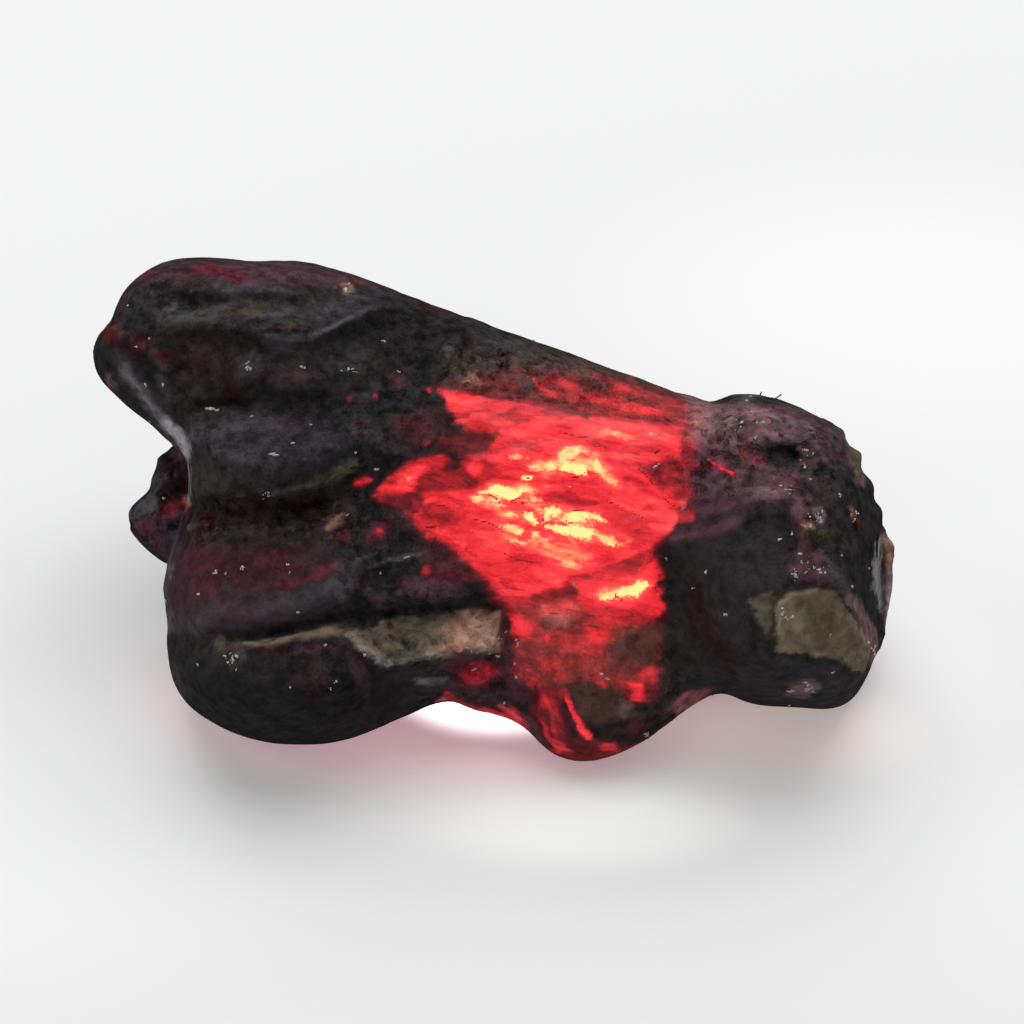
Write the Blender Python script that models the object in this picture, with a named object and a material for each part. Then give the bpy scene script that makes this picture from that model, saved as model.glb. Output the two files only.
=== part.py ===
"""Rough ruby crystal, 24 mm long: one water-worn solid that lies on its underside.

The crystal's broad side leans back from the edge that it rests on, and its forms are laid out on
that leaning side: u runs right along +X, v up the lean and w straight out of it, in millimetres.
The middle of the leaning side is MIDDLE_HEIGHT above the surface that the crystal lies on. The
broad side and the back are each stretched over lines: ridges, ledge edges and creases.
"""

import math

import bmesh
import bpy
import numpy as np
from mathutils import Vector, geometry, noise

MM = 0.001
LEAN = math.radians(40)
MIDDLE_HEIGHT = 5.0

# How roundly the sides turn over at the rim, as a share of the height just inside it.
BROAD_TURN = 0.62
BACK_TURN = 0.75
BACK_HEIGHT = 2.6

# Unevenness on top of the lines: its width, its height and its seed.
BROAD_BUMPS = (2.2, 0.1, 3.0)
BACK_BUMPS = (2.6, 0.35, 8.0)

# The underside stays this far above the surface between the pads, and a pad bulges this far below it
# before it is cut flat.
UNDER_GAP = 1.3
PAD_BULGE = 0.12
LEAST_THICKNESS = 2.2

BEYOND_RIM = 1.035
SHEET_STEP = 0.2
FUSE_VOXEL = 0.15
WEAR = 0.35
KEPT_SHARE = 0.082
COLOUR = (0.03, 0.008, 0.011, 1)
ROUGHNESS = 0.28
REFRACTION = 1.77

# The rim, where the broad side turns over to the back: u, v, w, then how far the broad side stands
# out just inside it. It starts at the left tip and runs clockwise.
RIM = (
    (-12.0, 5.0, 0.0, 1.9), (-11.75, 5.5, 0.0, 1.9), (-11.45, 5.9, 0.0, 2.1), (-11.1, 6.65, 0.0, 2.3),
    (-10.4, 7.3, 0.0, 2.3), (-9.5, 7.65, 0.0, 2.2), (-8.6, 7.68, 0.0, 2.1), (-7.2, 7.6, 0.0, 2.1),
    (-5.8, 7.57, 0.0, 2.0), (-4.3, 7.2, 0.0, 1.8), (-2.8, 6.65, 0.0, 1.7), (-1.3, 6.1, 0.0, 1.7),
    (0.2, 5.55, 0.0, 1.7), (1.7, 5.05, 0.0, 1.7), (3.2, 4.5, 0.0, 1.7), (4.7, 3.9, 0.0, 1.7),
    (6.0, 3.5, 0.0, 1.9), (6.6, 3.35, 0.0, 2.0), (7.1, 3.58, 0.0, 2.0), (7.8, 3.58, 0.0, 2.1),
    (8.6, 3.42, 0.0, 2.2), (9.35, 3.1, 0.0, 2.2), (10.1, 2.75, 0.0, 2.2), (10.8, 2.0, 0.0, 2.2),
    (11.2, 1.35, 0.0, 2.3), (11.45, 0.5, 0.0, 2.4), (11.65, -0.5, -0.1, 2.6), (11.6, -1.8, -0.2, 2.8),
    (11.6, -3.2, -0.3, 2.8), (11.5, -4.3, -0.4, 2.8), (11.2, -5.1, -0.5, 2.8), (10.75, -5.75, -0.6, 2.8),
    (10.2, -6.0, -0.6, 2.9), (9.2, -5.93, -0.5, 3.0), (7.6, -5.8, -0.1, 2.8), (6.8, -5.45, 0.3, 2.4),
    (5.9, -5.9, 0.8, 2.1), (4.8, -6.7, 1.1, 2.0), (3.9, -7.2, 1.2, 2.0), (3.0, -7.45, 1.2, 2.1),
    (2.1, -7.42, 1.2, 2.1), (1.5, -7.1, 1.2, 2.0), (1.0, -6.55, 1.3, 2.0), (0.3, -6.2, 1.3, 1.9),
    (-0.6, -6.0, 1.3, 1.9), (-1.3, -5.7, 1.3, 2.1), (-2.0, -5.9, 1.2, 2.3), (-2.9, -6.3, 1.1, 2.8),
    (-3.9, -6.7, 1.0, 3.3), (-4.9, -6.95, 0.9, 3.6), (-5.9, -7.0, 0.9, 3.8), (-7.3, -6.8, 0.8, 3.8),
    (-8.4, -6.35, 0.6, 3.6), (-9.2, -5.8, 0.3, 3.3), (-9.7, -5.0, 0.1, 3.2), (-9.85, -4.1, 0.0, 2.9),
    (-9.9, -3.0, 0.0, 2.9), (-9.9, -1.8, 0.0, 2.8), (-9.65, -1.0, 0.0, 2.7), (-9.35, 0.0, 0.0, 2.7),
    (-9.2, 1.0, 0.0, 2.9), (-9.3, 1.6, 0.0, 2.7), (-9.7, 1.92, 0.0, 2.4), (-10.0, 2.2, 0.0, 2.2),
    (-10.4, 2.65, 0.0, 2.0), (-11.0, 3.1, 0.0, 1.9), (-11.5, 3.6, 0.0, 1.9), (-11.85, 4.2, 0.0, 1.9),
)

BROAD_SIDE = {
    "upper_fold": (
        (-10.6, 6.2, 2.5), (-9.6, 6.55, 2.4), (-8.4, 6.45, 3.0), (-7.2, 6.7, 2.7), (-5.6, 6.75, 2.6),
        (-4.2, 6.6, 2.0),
    ),
    "fold_crease": (
        (-9.7, 5.9, 2.5), (-8.6, 6.0, 2.75), (-7.4, 6.05, 2.9), (-6.0, 6.2, 2.6), (-4.8, 6.2, 2.3),
    ),
    "tip_edge": ((-11.3, 5.3, 2.2), (-10.7, 4.9, 2.7), (-10.0, 4.6, 2.9)),
    "brow": (
        (-10.4, 5.4, 2.7), (-9.2, 5.55, 3.3), (-8.0, 5.5, 3.7), (-6.8, 5.2, 3.9), (-5.8, 5.15, 3.9),
        (-5.0, 5.2, 3.7), (-4.3, 5.6, 3.2), (-3.4, 6.05, 2.5),
    ),
    "under_brow": (
        (-9.7, 4.1, 2.8), (-8.5, 4.6, 2.9), (-7.2, 4.75, 3.3), (-5.8, 4.75, 3.3), (-4.6, 4.75, 3.0),
        (-3.4, 5.35, 2.4), (-2.0, 5.3, 2.3),
    ),
    "neck": (
        (-9.6, 3.4, 2.6), (-8.3, 3.5, 3.0), (-7.2, 3.9, 3.6), (-5.9, 3.8, 3.7), (-4.4, 4.2, 3.4),
        (-2.9, 4.6, 3.1), (-1.3, 4.6, 2.9),
    ),
    "left_bevel": ((-11.2, 4.5, 2.1), (-10.3, 3.55, 2.2), (-9.4, 2.6, 2.6), (-8.95, 1.7, 3.3)),
    "shoulder_crease": (
        (-9.0, 2.95, 2.8), (-7.8, 2.95, 3.0), (-6.6, 3.05, 3.2), (-5.2, 2.85, 3.4), (-3.9, 2.95, 3.3),
    ),
    "shoulder_edge": (
        (-8.7, 1.8, 3.9), (-7.6, 1.45, 4.5), (-6.3, 1.3, 4.8), (-5.1, 1.6, 4.6), (-4.0, 2.1, 4.0),
    ),
    "shoulder_lip": (
        (-9.0, 0.5, 3.5), (-7.6, 0.45, 4.1), (-6.4, 0.6, 4.4), (-5.4, 0.9, 4.3), (-4.2, 1.45, 3.9),
    ),
    "recess": (
        (-9.2, -0.1, 2.5), (-7.8, -0.05, 2.8), (-6.5, 0.05, 2.9), (-5.3, 0.3, 3.0), (-4.3, 0.8, 3.2),
    ),
    "shelf_step": (
        (-9.5, -0.9, 2.9), (-8.0, -0.95, 3.5), (-6.4, -0.95, 3.75), (-5.0, -0.85, 3.7),
        (-3.9, -0.3, 3.4),
    ),
    "shelf_swell": (
        (-9.7, -2.0, 3.1), (-8.1, -2.1, 3.95), (-6.5, -1.9, 4.2), (-5.0, -1.6, 4.1), (-3.9, -1.1, 3.8),
    ),
    "shelf_edge": (
        (-9.7, -3.1, 3.1), (-8.3, -3.2, 4.4), (-7.0, -3.2, 4.8), (-5.8, -2.95, 4.8), (-4.8, -2.6, 4.6),
        (-4.0, -2.0, 4.2), (-3.6, -1.5, 3.8),
    ),
    "shelf_crease": (
        (-9.7, -3.7, 2.7), (-8.2, -3.65, 3.7), (-6.8, -3.6, 3.9), (-5.7, -3.35, 3.9),
        (-4.8, -3.1, 3.7), (-3.8, -3.0, 3.4), (-3.0, -3.05, 3.1),
    ),
    "foot_ledge": (
        (-9.6, -4.2, 3.2), (-8.2, -4.1, 4.4), (-6.9, -3.9, 4.8), (-5.8, -3.7, 4.9), (-4.9, -3.65, 4.8),
        (-4.2, -3.85, 4.5), (-3.6, -4.2, 4.1), (-3.15, -4.6, 3.5),
    ),
    "foot_belly": (
        (-9.3, -5.1, 3.8), (-7.9, -5.2, 5.0), (-6.4, -5.3, 5.4), (-5.0, -5.2, 5.3), (-4.1, -5.0, 4.8),
        (-3.6, -4.9, 4.2),
    ),
    "foot_end": ((-3.15, -4.9, 2.9), (-3.5, -5.6, 3.0), (-4.3, -6.2, 3.9)),
    "arm": ((-2.7, -5.5, 2.7), (-1.7, -5.2, 2.6)),
    "hollow": ((-3.1, -2.0, 3.3), (-2.9, -1.2, 3.2), (-2.3, -0.5, 3.3)),
    "second_edge": (
        (-3.3, -2.6, 3.8), (-2.2, -2.5, 4.1), (-1.2, -2.35, 4.1), (-0.5, -2.1, 4.0), (0.15, -2.4, 3.7),
    ),
    "bench_back": ((-2.9, -3.15, 3.1), (-1.3, -2.95, 3.15), (0.1, -2.9, 3.05)),
    "bench_front": ((-3.0, -4.35, 3.85), (-2.0, -4.35, 3.85), (-1.0, -4.1, 3.75), (0.0, -4.15, 3.7)),
    "under_bench": (
        (-2.9, -4.8, 3.0), (-1.7, -4.7, 2.6), (-0.9, -4.35, 2.4), (0.1, -4.4, 2.3), (0.35, -3.6, 2.4),
        (0.35, -2.9, 2.8),
    ),
    "bead": ((-1.2, -5.0, 2.6), (-0.6, -4.8, 3.0), (-0.1, -5.0, 2.6)),
    "bead_right": ((0.3, -5.0, 2.0), (0.2, -5.7, 2.0)),
    "slope": (
        (-2.7, 3.9, 3.2), (-1.2, 4.1, 2.9), (0.6, 4.0, 2.8), (2.4, 3.6, 2.6), (4.4, 3.1, 2.5),
        (5.8, 2.8, 2.4),
    ),
    "window_brow": (
        (-3.0, 2.6, 3.5), (-1.5, 3.3, 3.4), (0.2, 3.05, 3.5), (1.8, 2.85, 3.6), (3.4, 2.55, 3.5),
        (4.8, 2.4, 3.3), (5.7, 2.0, 3.1),
    ),
    "window_rise": (
        (-3.6, 1.0, 3.4), (-2.4, 1.5, 3.7), (-1.0, 1.5, 3.9), (0.8, 1.6, 4.1), (2.6, 1.4, 4.1),
        (4.2, 1.0, 3.8), (5.6, 0.4, 3.4),
    ),
    "window_dip": (
        (-2.0, 0.4, 3.4), (-0.5, 0.5, 3.8), (1.2, 0.7, 3.9), (3.0, 0.5, 3.9), (4.4, 0.2, 3.7),
    ),
    "window_swell": (
        (-1.7, -0.8, 3.6), (-0.2, -0.9, 4.0), (1.4, -0.8, 4.2), (3.2, -0.7, 4.1), (4.5, -0.8, 3.9),
    ),
    "window_edge": ((0.4, -2.2, 3.8), (1.4, -2.4, 3.9), (3.0, -1.65, 4.1), (4.6, -1.1, 4.0)),
    "window_foot": ((0.5, -2.8, 3.2), (1.7, -2.9, 3.4), (3.1, -2.3, 3.6), (4.6, -1.8, 3.6)),
    "apron": ((0.7, -3.7, 2.8), (2.2, -3.6, 3.3), (3.8, -3.4, 3.5), (4.7, -3.3, 3.4)),
    "apron_low": ((0.7, -4.9, 2.5), (1.8, -4.9, 3.1), (3.4, -4.9, 3.4), (4.6, -4.9, 3.2)),
    "toe_ridge": ((1.3, -5.5, 2.6), (2.0, -5.4, 3.4), (2.4, -6.1, 3.5), (2.8, -6.7, 3.0)),
    "toe_groove": ((1.4, -6.3, 2.5), (1.9, -6.5, 2.8)),
    "toe_right": ((3.4, -5.6, 3.0), (3.9, -6.4, 2.9), (5.2, -5.9, 2.6)),
    "knob_valley": (
        (4.9, -1.3, 3.4), (5.1, -2.5, 3.1), (5.15, -3.8, 2.9), (5.4, -4.9, 2.5), (5.9, -5.4, 2.2),
    ),
    "knob_crest": (
        (5.0, -0.9, 4.0), (6.0, -0.7, 4.5), (6.9, -0.3, 4.8), (7.6, 0.3, 4.8), (8.6, 0.35, 4.8),
        (8.95, -0.5, 5.0), (9.3, -1.3, 5.1), (10.4, -2.2, 4.7), (11.0, -3.3, 4.0), (11.15, -4.4, 3.4),
    ),
    "knob_corner": ((6.5, -1.3, 4.8), (7.3, -2.5, 5.3), (7.8, -3.8, 5.5), (7.6, -4.6, 4.8)),
    "flat_facet": (
        (8.3, -2.25, 5.3), (9.9, -2.2, 4.95), (11.0, -4.7, 4.1), (10.2, -4.45, 4.6), (9.0, -4.2, 5.1),
        (8.0, -4.05, 5.5), (8.3, -2.25, 5.3),
    ),
    "knob_belly": ((6.6, -4.3, 4.1), (7.6, -5.0, 4.2), (9.2, -5.0, 4.3), (10.6, -5.2, 3.5)),
    "crown_back": ((6.6, 2.6, 2.7), (7.6, 2.7, 2.9), (8.8, 2.5, 3.0), (9.9, 2.0, 2.9)),
    "crown_step": (
        (6.3, 1.5, 3.2), (7.4, 1.9, 3.5), (8.6, 2.05, 3.7), (9.6, 1.9, 3.4), (10.5, 1.1, 3.0),
    ),
    "crown_hollow": ((7.0, 0.9, 3.7), (8.3, 1.3, 3.5), (9.2, 1.3, 3.6), (9.9, 0.9, 3.6)),
    "side_edge": ((9.4, 0.3, 4.4), (10.3, 0.1, 3.9), (10.9, -0.3, 3.2)),
    "side_crease": ((10.2, -1.0, 4.2), (10.9, -1.6, 3.5), (11.1, -2.6, 3.3)),
}

BACK = {
    "top": (
        (-10.2, 6.2, 2.4), (-8.2, 6.7, 2.9), (-6.4, 6.1, 2.2), (-4.6, 6.3, 2.6), (-2.6, 5.3, 1.9),
        (-0.6, 5.1, 2.6), (1.6, 4.2, 1.9), (3.8, 3.7, 2.7), (6.4, 2.6, 2.3), (8.2, 2.7, 3.1),
        (10.4, 1.2, 2.5),
    ),
    "ledge": (
        (-10.4, 4.8, 3.0), (-8.6, 5.0, 4.6), (-6.4, 5.1, 3.9), (-3.8, 4.2, 4.8), (-0.8, 3.7, 4.1),
        (2.2, 2.5, 5.0), (5.2, 2.0, 4.0), (8.0, 1.2, 4.9), (10.2, -0.2, 3.6),
    ),
    "ledge_crease": (
        (-9.4, 3.4, 3.4), (-7.2, 3.7, 4.3), (-4.6, 3.2, 4.2), (-1.6, 2.2, 4.6), (1.4, 1.6, 4.6),
        (4.2, 0.9, 4.6), (7.0, 0.2, 4.4), (9.6, -1.0, 3.9),
    ),
    "keel": (
        (-8.8, 1.4, 4.2), (-6.4, 1.8, 6.4), (-3.0, 1.0, 5.8), (0.6, 0.2, 6.4), (4.0, -0.8, 5.9),
        (7.4, -1.4, 6.1), (10.0, -2.4, 4.2),
    ),
    "low": (
        (-9.2, -2.0, 4.0), (-6.0, -1.6, 5.8), (-2.0, -2.2, 5.6), (2.0, -2.8, 5.8), (6.0, -3.2, 5.2),
        (9.6, -4.0, 3.8),
    ),
}

# Where the underside touches the surface that the crystal lies on: u, y and the pad's radius.
PADS = ((-6.4, -3.7, 1.7), (2.6, -4.7, 1.2), (9.0, -2.6, 1.5), (-1.5, 3.0, 2.4), (6.2, 2.2, 1.5))

# Small crystals that have grown into the side of the large one: corners as u, v, w.
NUB_LOW = (
    (-11.35, -0.35, -2.4), (-11.1, 0.15, -1.8), (-10.95, 0.45, -2.8), (-10.4, 0.75, -1.5),
    (-10.75, -1.1, -2.1), (-10.5, -1.25, -3.3), (-10.2, -0.4, -1.0), (-9.9, -1.7, -1.9), (-9.6, -1.7, -3.3),
    (-10.0, 1.0, -3.4), (-8.6, 1.2, -3.8), (-8.6, 1.2, -1.2), (-8.5, -1.4, -1.2), (-8.5, -1.5, -3.8),
)
NUB_HIGH = (
    (-10.65, 0.7, -3.0), (-10.7, 1.0, -2.1), (-10.3, 1.75, -2.1), (-10.1, 1.8, -3.3), (-9.7, 2.2, -2.2),
    (-9.9, 1.0, -1.1), (-8.7, 2.3, -1.6), (-8.6, 2.2, -3.8), (-8.6, 0.4, -1.0), (-8.6, 0.4, -3.9),
)
FLAKE = (
    (11.5, -0.1, -0.8), (11.9, -0.55, -1.0), (12.18, -1.1, -1.15), (12.15, -2.3, -1.1), (11.95, -3.4, -0.8),
    (11.7, -4.3, -0.5), (11.9, -0.9, -1.9), (11.95, -2.4, -2.1), (11.7, -3.8, -1.7), (10.8, 0.2, -0.4),
    (10.8, -4.5, 0.2), (10.6, -0.2, -2.6), (10.6, -3.9, -2.6),
)


def to_world(u, v, w):
    """Points on the leaning side, as upright coordinates, still in millimetres."""
    y = v * math.sin(LEAN) - w * math.cos(LEAN)
    z = MIDDLE_HEIGHT + v * math.cos(LEAN) + w * math.sin(LEAN)
    return np.stack((u + 0 * y, y, z), axis=-1)


def unevenness(u, v, width, height, seed):
    places = np.stack((u / width, v / width, np.full(len(u), seed)), axis=-1)
    return height * np.array([noise.fractal(Vector(place), 0.9, 2.1, 4) for place in places])


def rim_line():
    """The rim as a smooth closed line of points: u, v, w and the height just inside it."""
    curve = bpy.data.curves.new("rim", "CURVE")
    curve.dimensions = "3D"
    curve.resolution_u = 5
    spline = curve.splines.new("BEZIER")
    spline.bezier_points.add(len(RIM) - 1)
    for knot, place in zip(spline.bezier_points, RIM):
        knot.co = place[:3]
        knot.handle_left_type = knot.handle_right_type = "AUTO"
    spline.use_cyclic_u = True
    guide = bpy.data.objects.new("rim", curve)
    bpy.context.collection.objects.link(guide)
    bpy.context.view_layer.update()
    line = np.array([point.co[:] for point in guide.to_mesh().vertices])
    guide.to_mesh_clear()
    bpy.data.objects.remove(guide)
    stations = np.arange(len(line)) * len(RIM) / len(line)
    heights = np.interp(stations, np.arange(len(RIM) + 1), [knot[3] for knot in (*RIM, RIM[0])])
    return np.column_stack((line, heights))


def rim_distance(points, rim):
    """How far each point lies from the rim, and the rim's w and height where it is nearest."""
    steps = np.roll(rim, -1, axis=0) - rim
    distance = np.full(len(points), np.inf)
    found = np.zeros((len(points), 2))
    for start, step in zip(rim, steps):
        share = np.clip((points - start[:2]) @ step[:2] / (step[:2] @ step[:2]), 0, 1)
        nearest = start + share[:, None] * step
        apart = np.hypot(*(points - nearest[:, :2]).T)
        closer = apart < distance
        found[closer] = nearest[closer, 2:]
        distance[closer] = apart[closer]
    return distance, found[:, 0], found[:, 1]


def sheet(rim):
    """Points over the leaning side, the rim's own first, and the triangles between them."""
    low, high = rim[:, :2].min(axis=0), rim[:, :2].max(axis=0)
    rows = np.arange(low[1], high[1], SHEET_STEP * math.sqrt(3) / 2)
    columns = np.arange(low[0], high[0], SHEET_STEP)
    inner = np.array([(u + i % 2 * SHEET_STEP / 2, v) for i, v in enumerate(rows) for u in columns])
    inner = inner[rim_distance(inner, rim)[0] > SHEET_STEP * 0.6]
    points = [Vector(place) for place in (*rim[:, :2], *inner)]
    around = [list(range(len(rim)))]
    places, _, triangles, *_ = geometry.delaunay_2d_cdt(points, [], around, 1, 1e-5)
    return np.array([place[:] for place in places]), triangles


def stretched(lines, rim_heights, u, v):
    """The height at u, v of the facets that are stretched between the lines and the rim."""
    corners, edges = [], []
    for line in lines.values():
        edges += [(len(corners) + i, len(corners) + i + 1) for i in range(len(line) - 1)]
        corners += line
    for knot, height in zip(RIM, rim_heights):
        corners.append((knot[0] * BEYOND_RIM, knot[1] * BEYOND_RIM, height))
    flat = [Vector(corner[:2]) for corner in corners]
    places, _, facets, origins, *_ = geometry.delaunay_2d_cdt(flat, edges, [], 0, 1e-4)
    heights = np.array([np.mean([corners[i][2] for i in found]) for found in origins])
    places = np.array([place[:] for place in places])
    result = np.zeros(len(u))
    for facet in facets:
        (a_u, a_v), (b_u, b_v), (c_u, c_v) = places[list(facet)]
        area = (b_u - a_u) * (c_v - a_v) - (c_u - a_u) * (b_v - a_v)
        share_b = ((u - a_u) * (c_v - a_v) - (c_u - a_u) * (v - a_v)) / area
        share_c = ((b_u - a_u) * (v - a_v) - (u - a_u) * (b_v - a_v)) / area
        inside = (share_b >= -1e-6) & (share_c >= -1e-6) & (share_b + share_c <= 1 + 1e-6)
        shares = np.stack((1 - share_b - share_c, share_b, share_c))
        result[inside] = (heights[list(facet)] @ shares)[inside]
    return result


def turn_over(distance, roundness):
    return np.sqrt(1 - (1 - np.clip(distance / roundness, 0, 1)) ** 2)


def underside(u, v, front, back, turn):
    """The back, stopped where it would reach lower than the pads and the gap between them."""
    y = to_world(u, v, back)[:, 1]
    apart = np.min([np.hypot(u - pad_u, y - pad_y) / radius for pad_u, pad_y, radius in PADS], axis=0)
    gap = UNDER_GAP * (1 - np.exp(-np.clip(apart - 0.8, 0, None) ** 2)) - PAD_BULGE
    lowest = (gap - MIDDLE_HEIGHT - v * math.cos(LEAN)) / math.sin(LEAN)
    return np.maximum(back, np.minimum(lowest, front - LEAST_THICKNESS * turn))


def main_body():
    """The broad side and the back as one closed shape, joined along the rim."""
    rim = rim_line()
    points, triangles = sheet(rim)
    u, v = points.T
    distance, rim_w, rim_height = rim_distance(points, rim)
    on_rim = distance < 1e-4
    turn = turn_over(distance, BROAD_TURN * rim_height)
    front = stretched(BROAD_SIDE, [knot[3] for knot in RIM], u, v) + unevenness(u, v, *BROAD_BUMPS)
    front = rim_w + (front - rim_w) * turn
    turn = turn_over(distance, BACK_TURN * BACK_HEIGHT)
    back = stretched(BACK, [BACK_HEIGHT] * len(RIM), u, v) + unevenness(u, v, *BACK_BUMPS)
    back = underside(u, v, front, rim_w - (back + rim_w) * turn, turn)
    outer, inner = to_world(u, v, front) * MM, to_world(u, v, back) * MM

    shape = bmesh.new()
    outer_verts = [shape.verts.new(place) for place in outer]
    inner_verts = [outer_verts[i] if on_rim[i] else shape.verts.new(inner[i]) for i in range(len(u))]
    for triangle in triangles:
        shape.faces.new([outer_verts[i] for i in triangle])
        shape.faces.new([inner_verts[i] for i in reversed(triangle)])
    return shape


def add_small_crystal(shape, corners):
    """The hull of the corners, as a closed shape inside the same mesh."""
    places = to_world(*np.array(corners).T) * MM
    verts = [shape.verts.new(place) for place in places]
    hull = bmesh.ops.convex_hull(shape, input=verts)
    unused = {item for item in hull["geom_unused"] + hull["geom_interior"] if item in verts}
    bmesh.ops.delete(shape, geom=list(unused), context="VERTS")


def ground_cutter(size=60):
    """A block below the surface that the crystal lies on. It cuts the pads flat."""
    bpy.ops.mesh.primitive_cube_add(size=size * MM, location=(0, 0, -size / 2 * MM))
    cutter = bpy.context.object
    cutter.name = "ground"
    cutter.hide_render = True
    cutter.display_type = "WIRE"
    return cutter


def add_modifiers(crystal):
    """Fuse the shapes into one skin, wear its edges, thin it, and cut the pads flat."""
    fuse = crystal.modifiers.new("fuse", "REMESH")
    fuse.mode = "VOXEL"
    fuse.voxel_size = FUSE_VOXEL * MM
    wear = crystal.modifiers.new("wear", "SMOOTH")
    wear.factor = WEAR
    thin = crystal.modifiers.new("thin", "DECIMATE")
    thin.ratio = KEPT_SHARE
    pads = crystal.modifiers.new("pads", "BOOLEAN")
    pads.object = ground_cutter()


def ruby_material():
    material = bpy.data.materials.new("ruby")
    material.use_nodes = True
    shader = material.node_tree.nodes["Principled BSDF"]
    shader.inputs["Base Color"].default_value = COLOUR
    shader.inputs["Roughness"].default_value = ROUGHNESS
    shader.inputs["Metallic"].default_value = 0
    shader.inputs["IOR"].default_value = REFRACTION
    return material


def centre_above_origin(crystal):
    """Move the crystal sideways until the middle of its box is above the origin."""
    bpy.context.view_layer.update()
    evaluated = crystal.evaluated_get(bpy.context.evaluated_depsgraph_get())
    low, high = Vector(evaluated.bound_box[0]), Vector(evaluated.bound_box[6])
    crystal.location.x = -(low.x + high.x) / 2
    crystal.location.y = -(low.y + high.y) / 2


def main():
    for old in list(bpy.data.objects):
        bpy.data.objects.remove(old)
    shape = main_body()
    for corners in (NUB_LOW, NUB_HIGH, FLAKE):
        add_small_crystal(shape, corners)
    mesh = bpy.data.meshes.new("ruby_crystal")
    shape.to_mesh(mesh)
    shape.free()
    mesh.materials.append(ruby_material())
    crystal = bpy.data.objects.new("ruby_crystal", mesh)
    bpy.context.collection.objects.link(crystal)
    add_modifiers(crystal)
    centre_above_origin(crystal)


main()
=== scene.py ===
import math

import bmesh
import bpy
import numpy as np
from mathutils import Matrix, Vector, kdtree, noise
from mathutils.bvhtree import BVHTree


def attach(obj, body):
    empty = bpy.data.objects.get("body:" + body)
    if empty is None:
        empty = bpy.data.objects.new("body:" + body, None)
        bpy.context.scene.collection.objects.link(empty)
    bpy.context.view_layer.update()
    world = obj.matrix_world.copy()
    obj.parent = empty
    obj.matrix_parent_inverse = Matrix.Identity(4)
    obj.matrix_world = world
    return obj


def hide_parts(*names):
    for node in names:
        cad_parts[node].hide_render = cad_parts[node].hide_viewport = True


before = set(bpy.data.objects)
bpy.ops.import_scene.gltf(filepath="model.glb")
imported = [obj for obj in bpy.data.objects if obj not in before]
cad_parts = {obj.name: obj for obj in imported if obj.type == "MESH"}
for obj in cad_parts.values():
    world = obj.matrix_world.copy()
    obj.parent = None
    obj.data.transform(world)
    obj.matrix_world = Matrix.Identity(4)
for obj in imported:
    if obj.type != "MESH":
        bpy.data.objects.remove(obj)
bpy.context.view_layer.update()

mm = 0.001

# The ruby's broad side leans back. Places on it are lean coordinates, in mm from its middle:
# u to the right, v up the lean and w straight out of it. An outline or a line is u, v, u, v and so on.
leanFrame = {
    "angle": math.radians(40),
    "middle": (-0.079, 0.286, 5.0),
}
leanSine, leanCosine = math.sin(leanFrame["angle"]), math.cos(leanFrame["angle"])
leanOut = np.array((0, -leanCosine, leanSine))


def toLean(points):
    x, y, z = (points / mm - np.array(leanFrame["middle"])).T
    return x, y * leanSine + z * leanCosine, z * leanSine - y * leanCosine


def fromLean(u, v, w):
    y = v * leanSine - w * leanCosine
    z = v * leanCosine + w * leanSine
    return (Vector((u, y, z)) + Vector(leanFrame["middle"])) * mm


def smoothStep(values, low, high):
    share = np.clip((values - low) / (high - low), 0, 1)
    return share * share * (3 - 2 * share)


def noiseAt(places, size, height, octaves, seed, fading=0.8, finer=2.1):
    scaled = places / np.array(size) + seed
    return height * np.array([noise.fractal(Vector(place), fading, finer, octaves) for place in scaled])


def lineDistance(u, v, line, closed=False, reach=None):
    # places further than reach from the line's box stay at the reach
    points = np.reshape(line, (-1, 2))
    if reach is not None:
        (lowU, lowV), (highU, highV) = points.min(axis=0) - reach, points.max(axis=0) + reach
        near = (u > lowU) & (u < highU) & (v > lowV) & (v < highV)
        distances = np.full(len(u), float(reach))
        distances[near] = np.minimum(lineDistance(u[near], v[near], line, closed), reach)
        return distances
    ends = np.roll(points, -1, axis=0) if closed else points[1:]
    starts = points if closed else points[:-1]
    nearest = np.full(len(u), np.inf)
    for (startU, startV), (endU, endV) in zip(starts, ends):
        stepU, stepV = endU - startU, endV - startV
        share = ((u - startU) * stepU + (v - startV) * stepV) / (stepU ** 2 + stepV ** 2)
        share = np.clip(share, 0, 1)
        nearest = np.minimum(nearest, np.hypot(u - startU - share * stepU, v - startV - share * stepV))
    return nearest


def signedDepth(u, v, outline, reach=0.8):
    # distance to the outline, above zero inside it and no further out than the reach
    points = np.reshape(outline, (-1, 2))
    (lowU, lowV), (highU, highV) = points.min(axis=0) - reach, points.max(axis=0) + reach
    near = (u > lowU) & (u < highU) & (v > lowV) & (v < highV)
    nearU, nearV = u[near], v[near]
    inside = np.zeros(len(nearU), bool)
    for (startU, startV), (endU, endV) in zip(points, np.roll(points, -1, axis=0)):
        crosses = (startV > nearV) != (endV > nearV)
        crossing = (endU - startU) * (nearV - startV) / (endV - startV + 1e-9) + startU
        inside ^= crosses & (nearU < crossing)
    edge = lineDistance(nearU, nearV, outline, closed=True)
    depth = np.full(len(u), -float(reach))
    depth[near] = np.where(inside, edge, -edge)
    return depth


def insideShare(u, v, outline, softness):
    return smoothStep(signedDepth(u, v, outline), -softness, softness)


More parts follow.
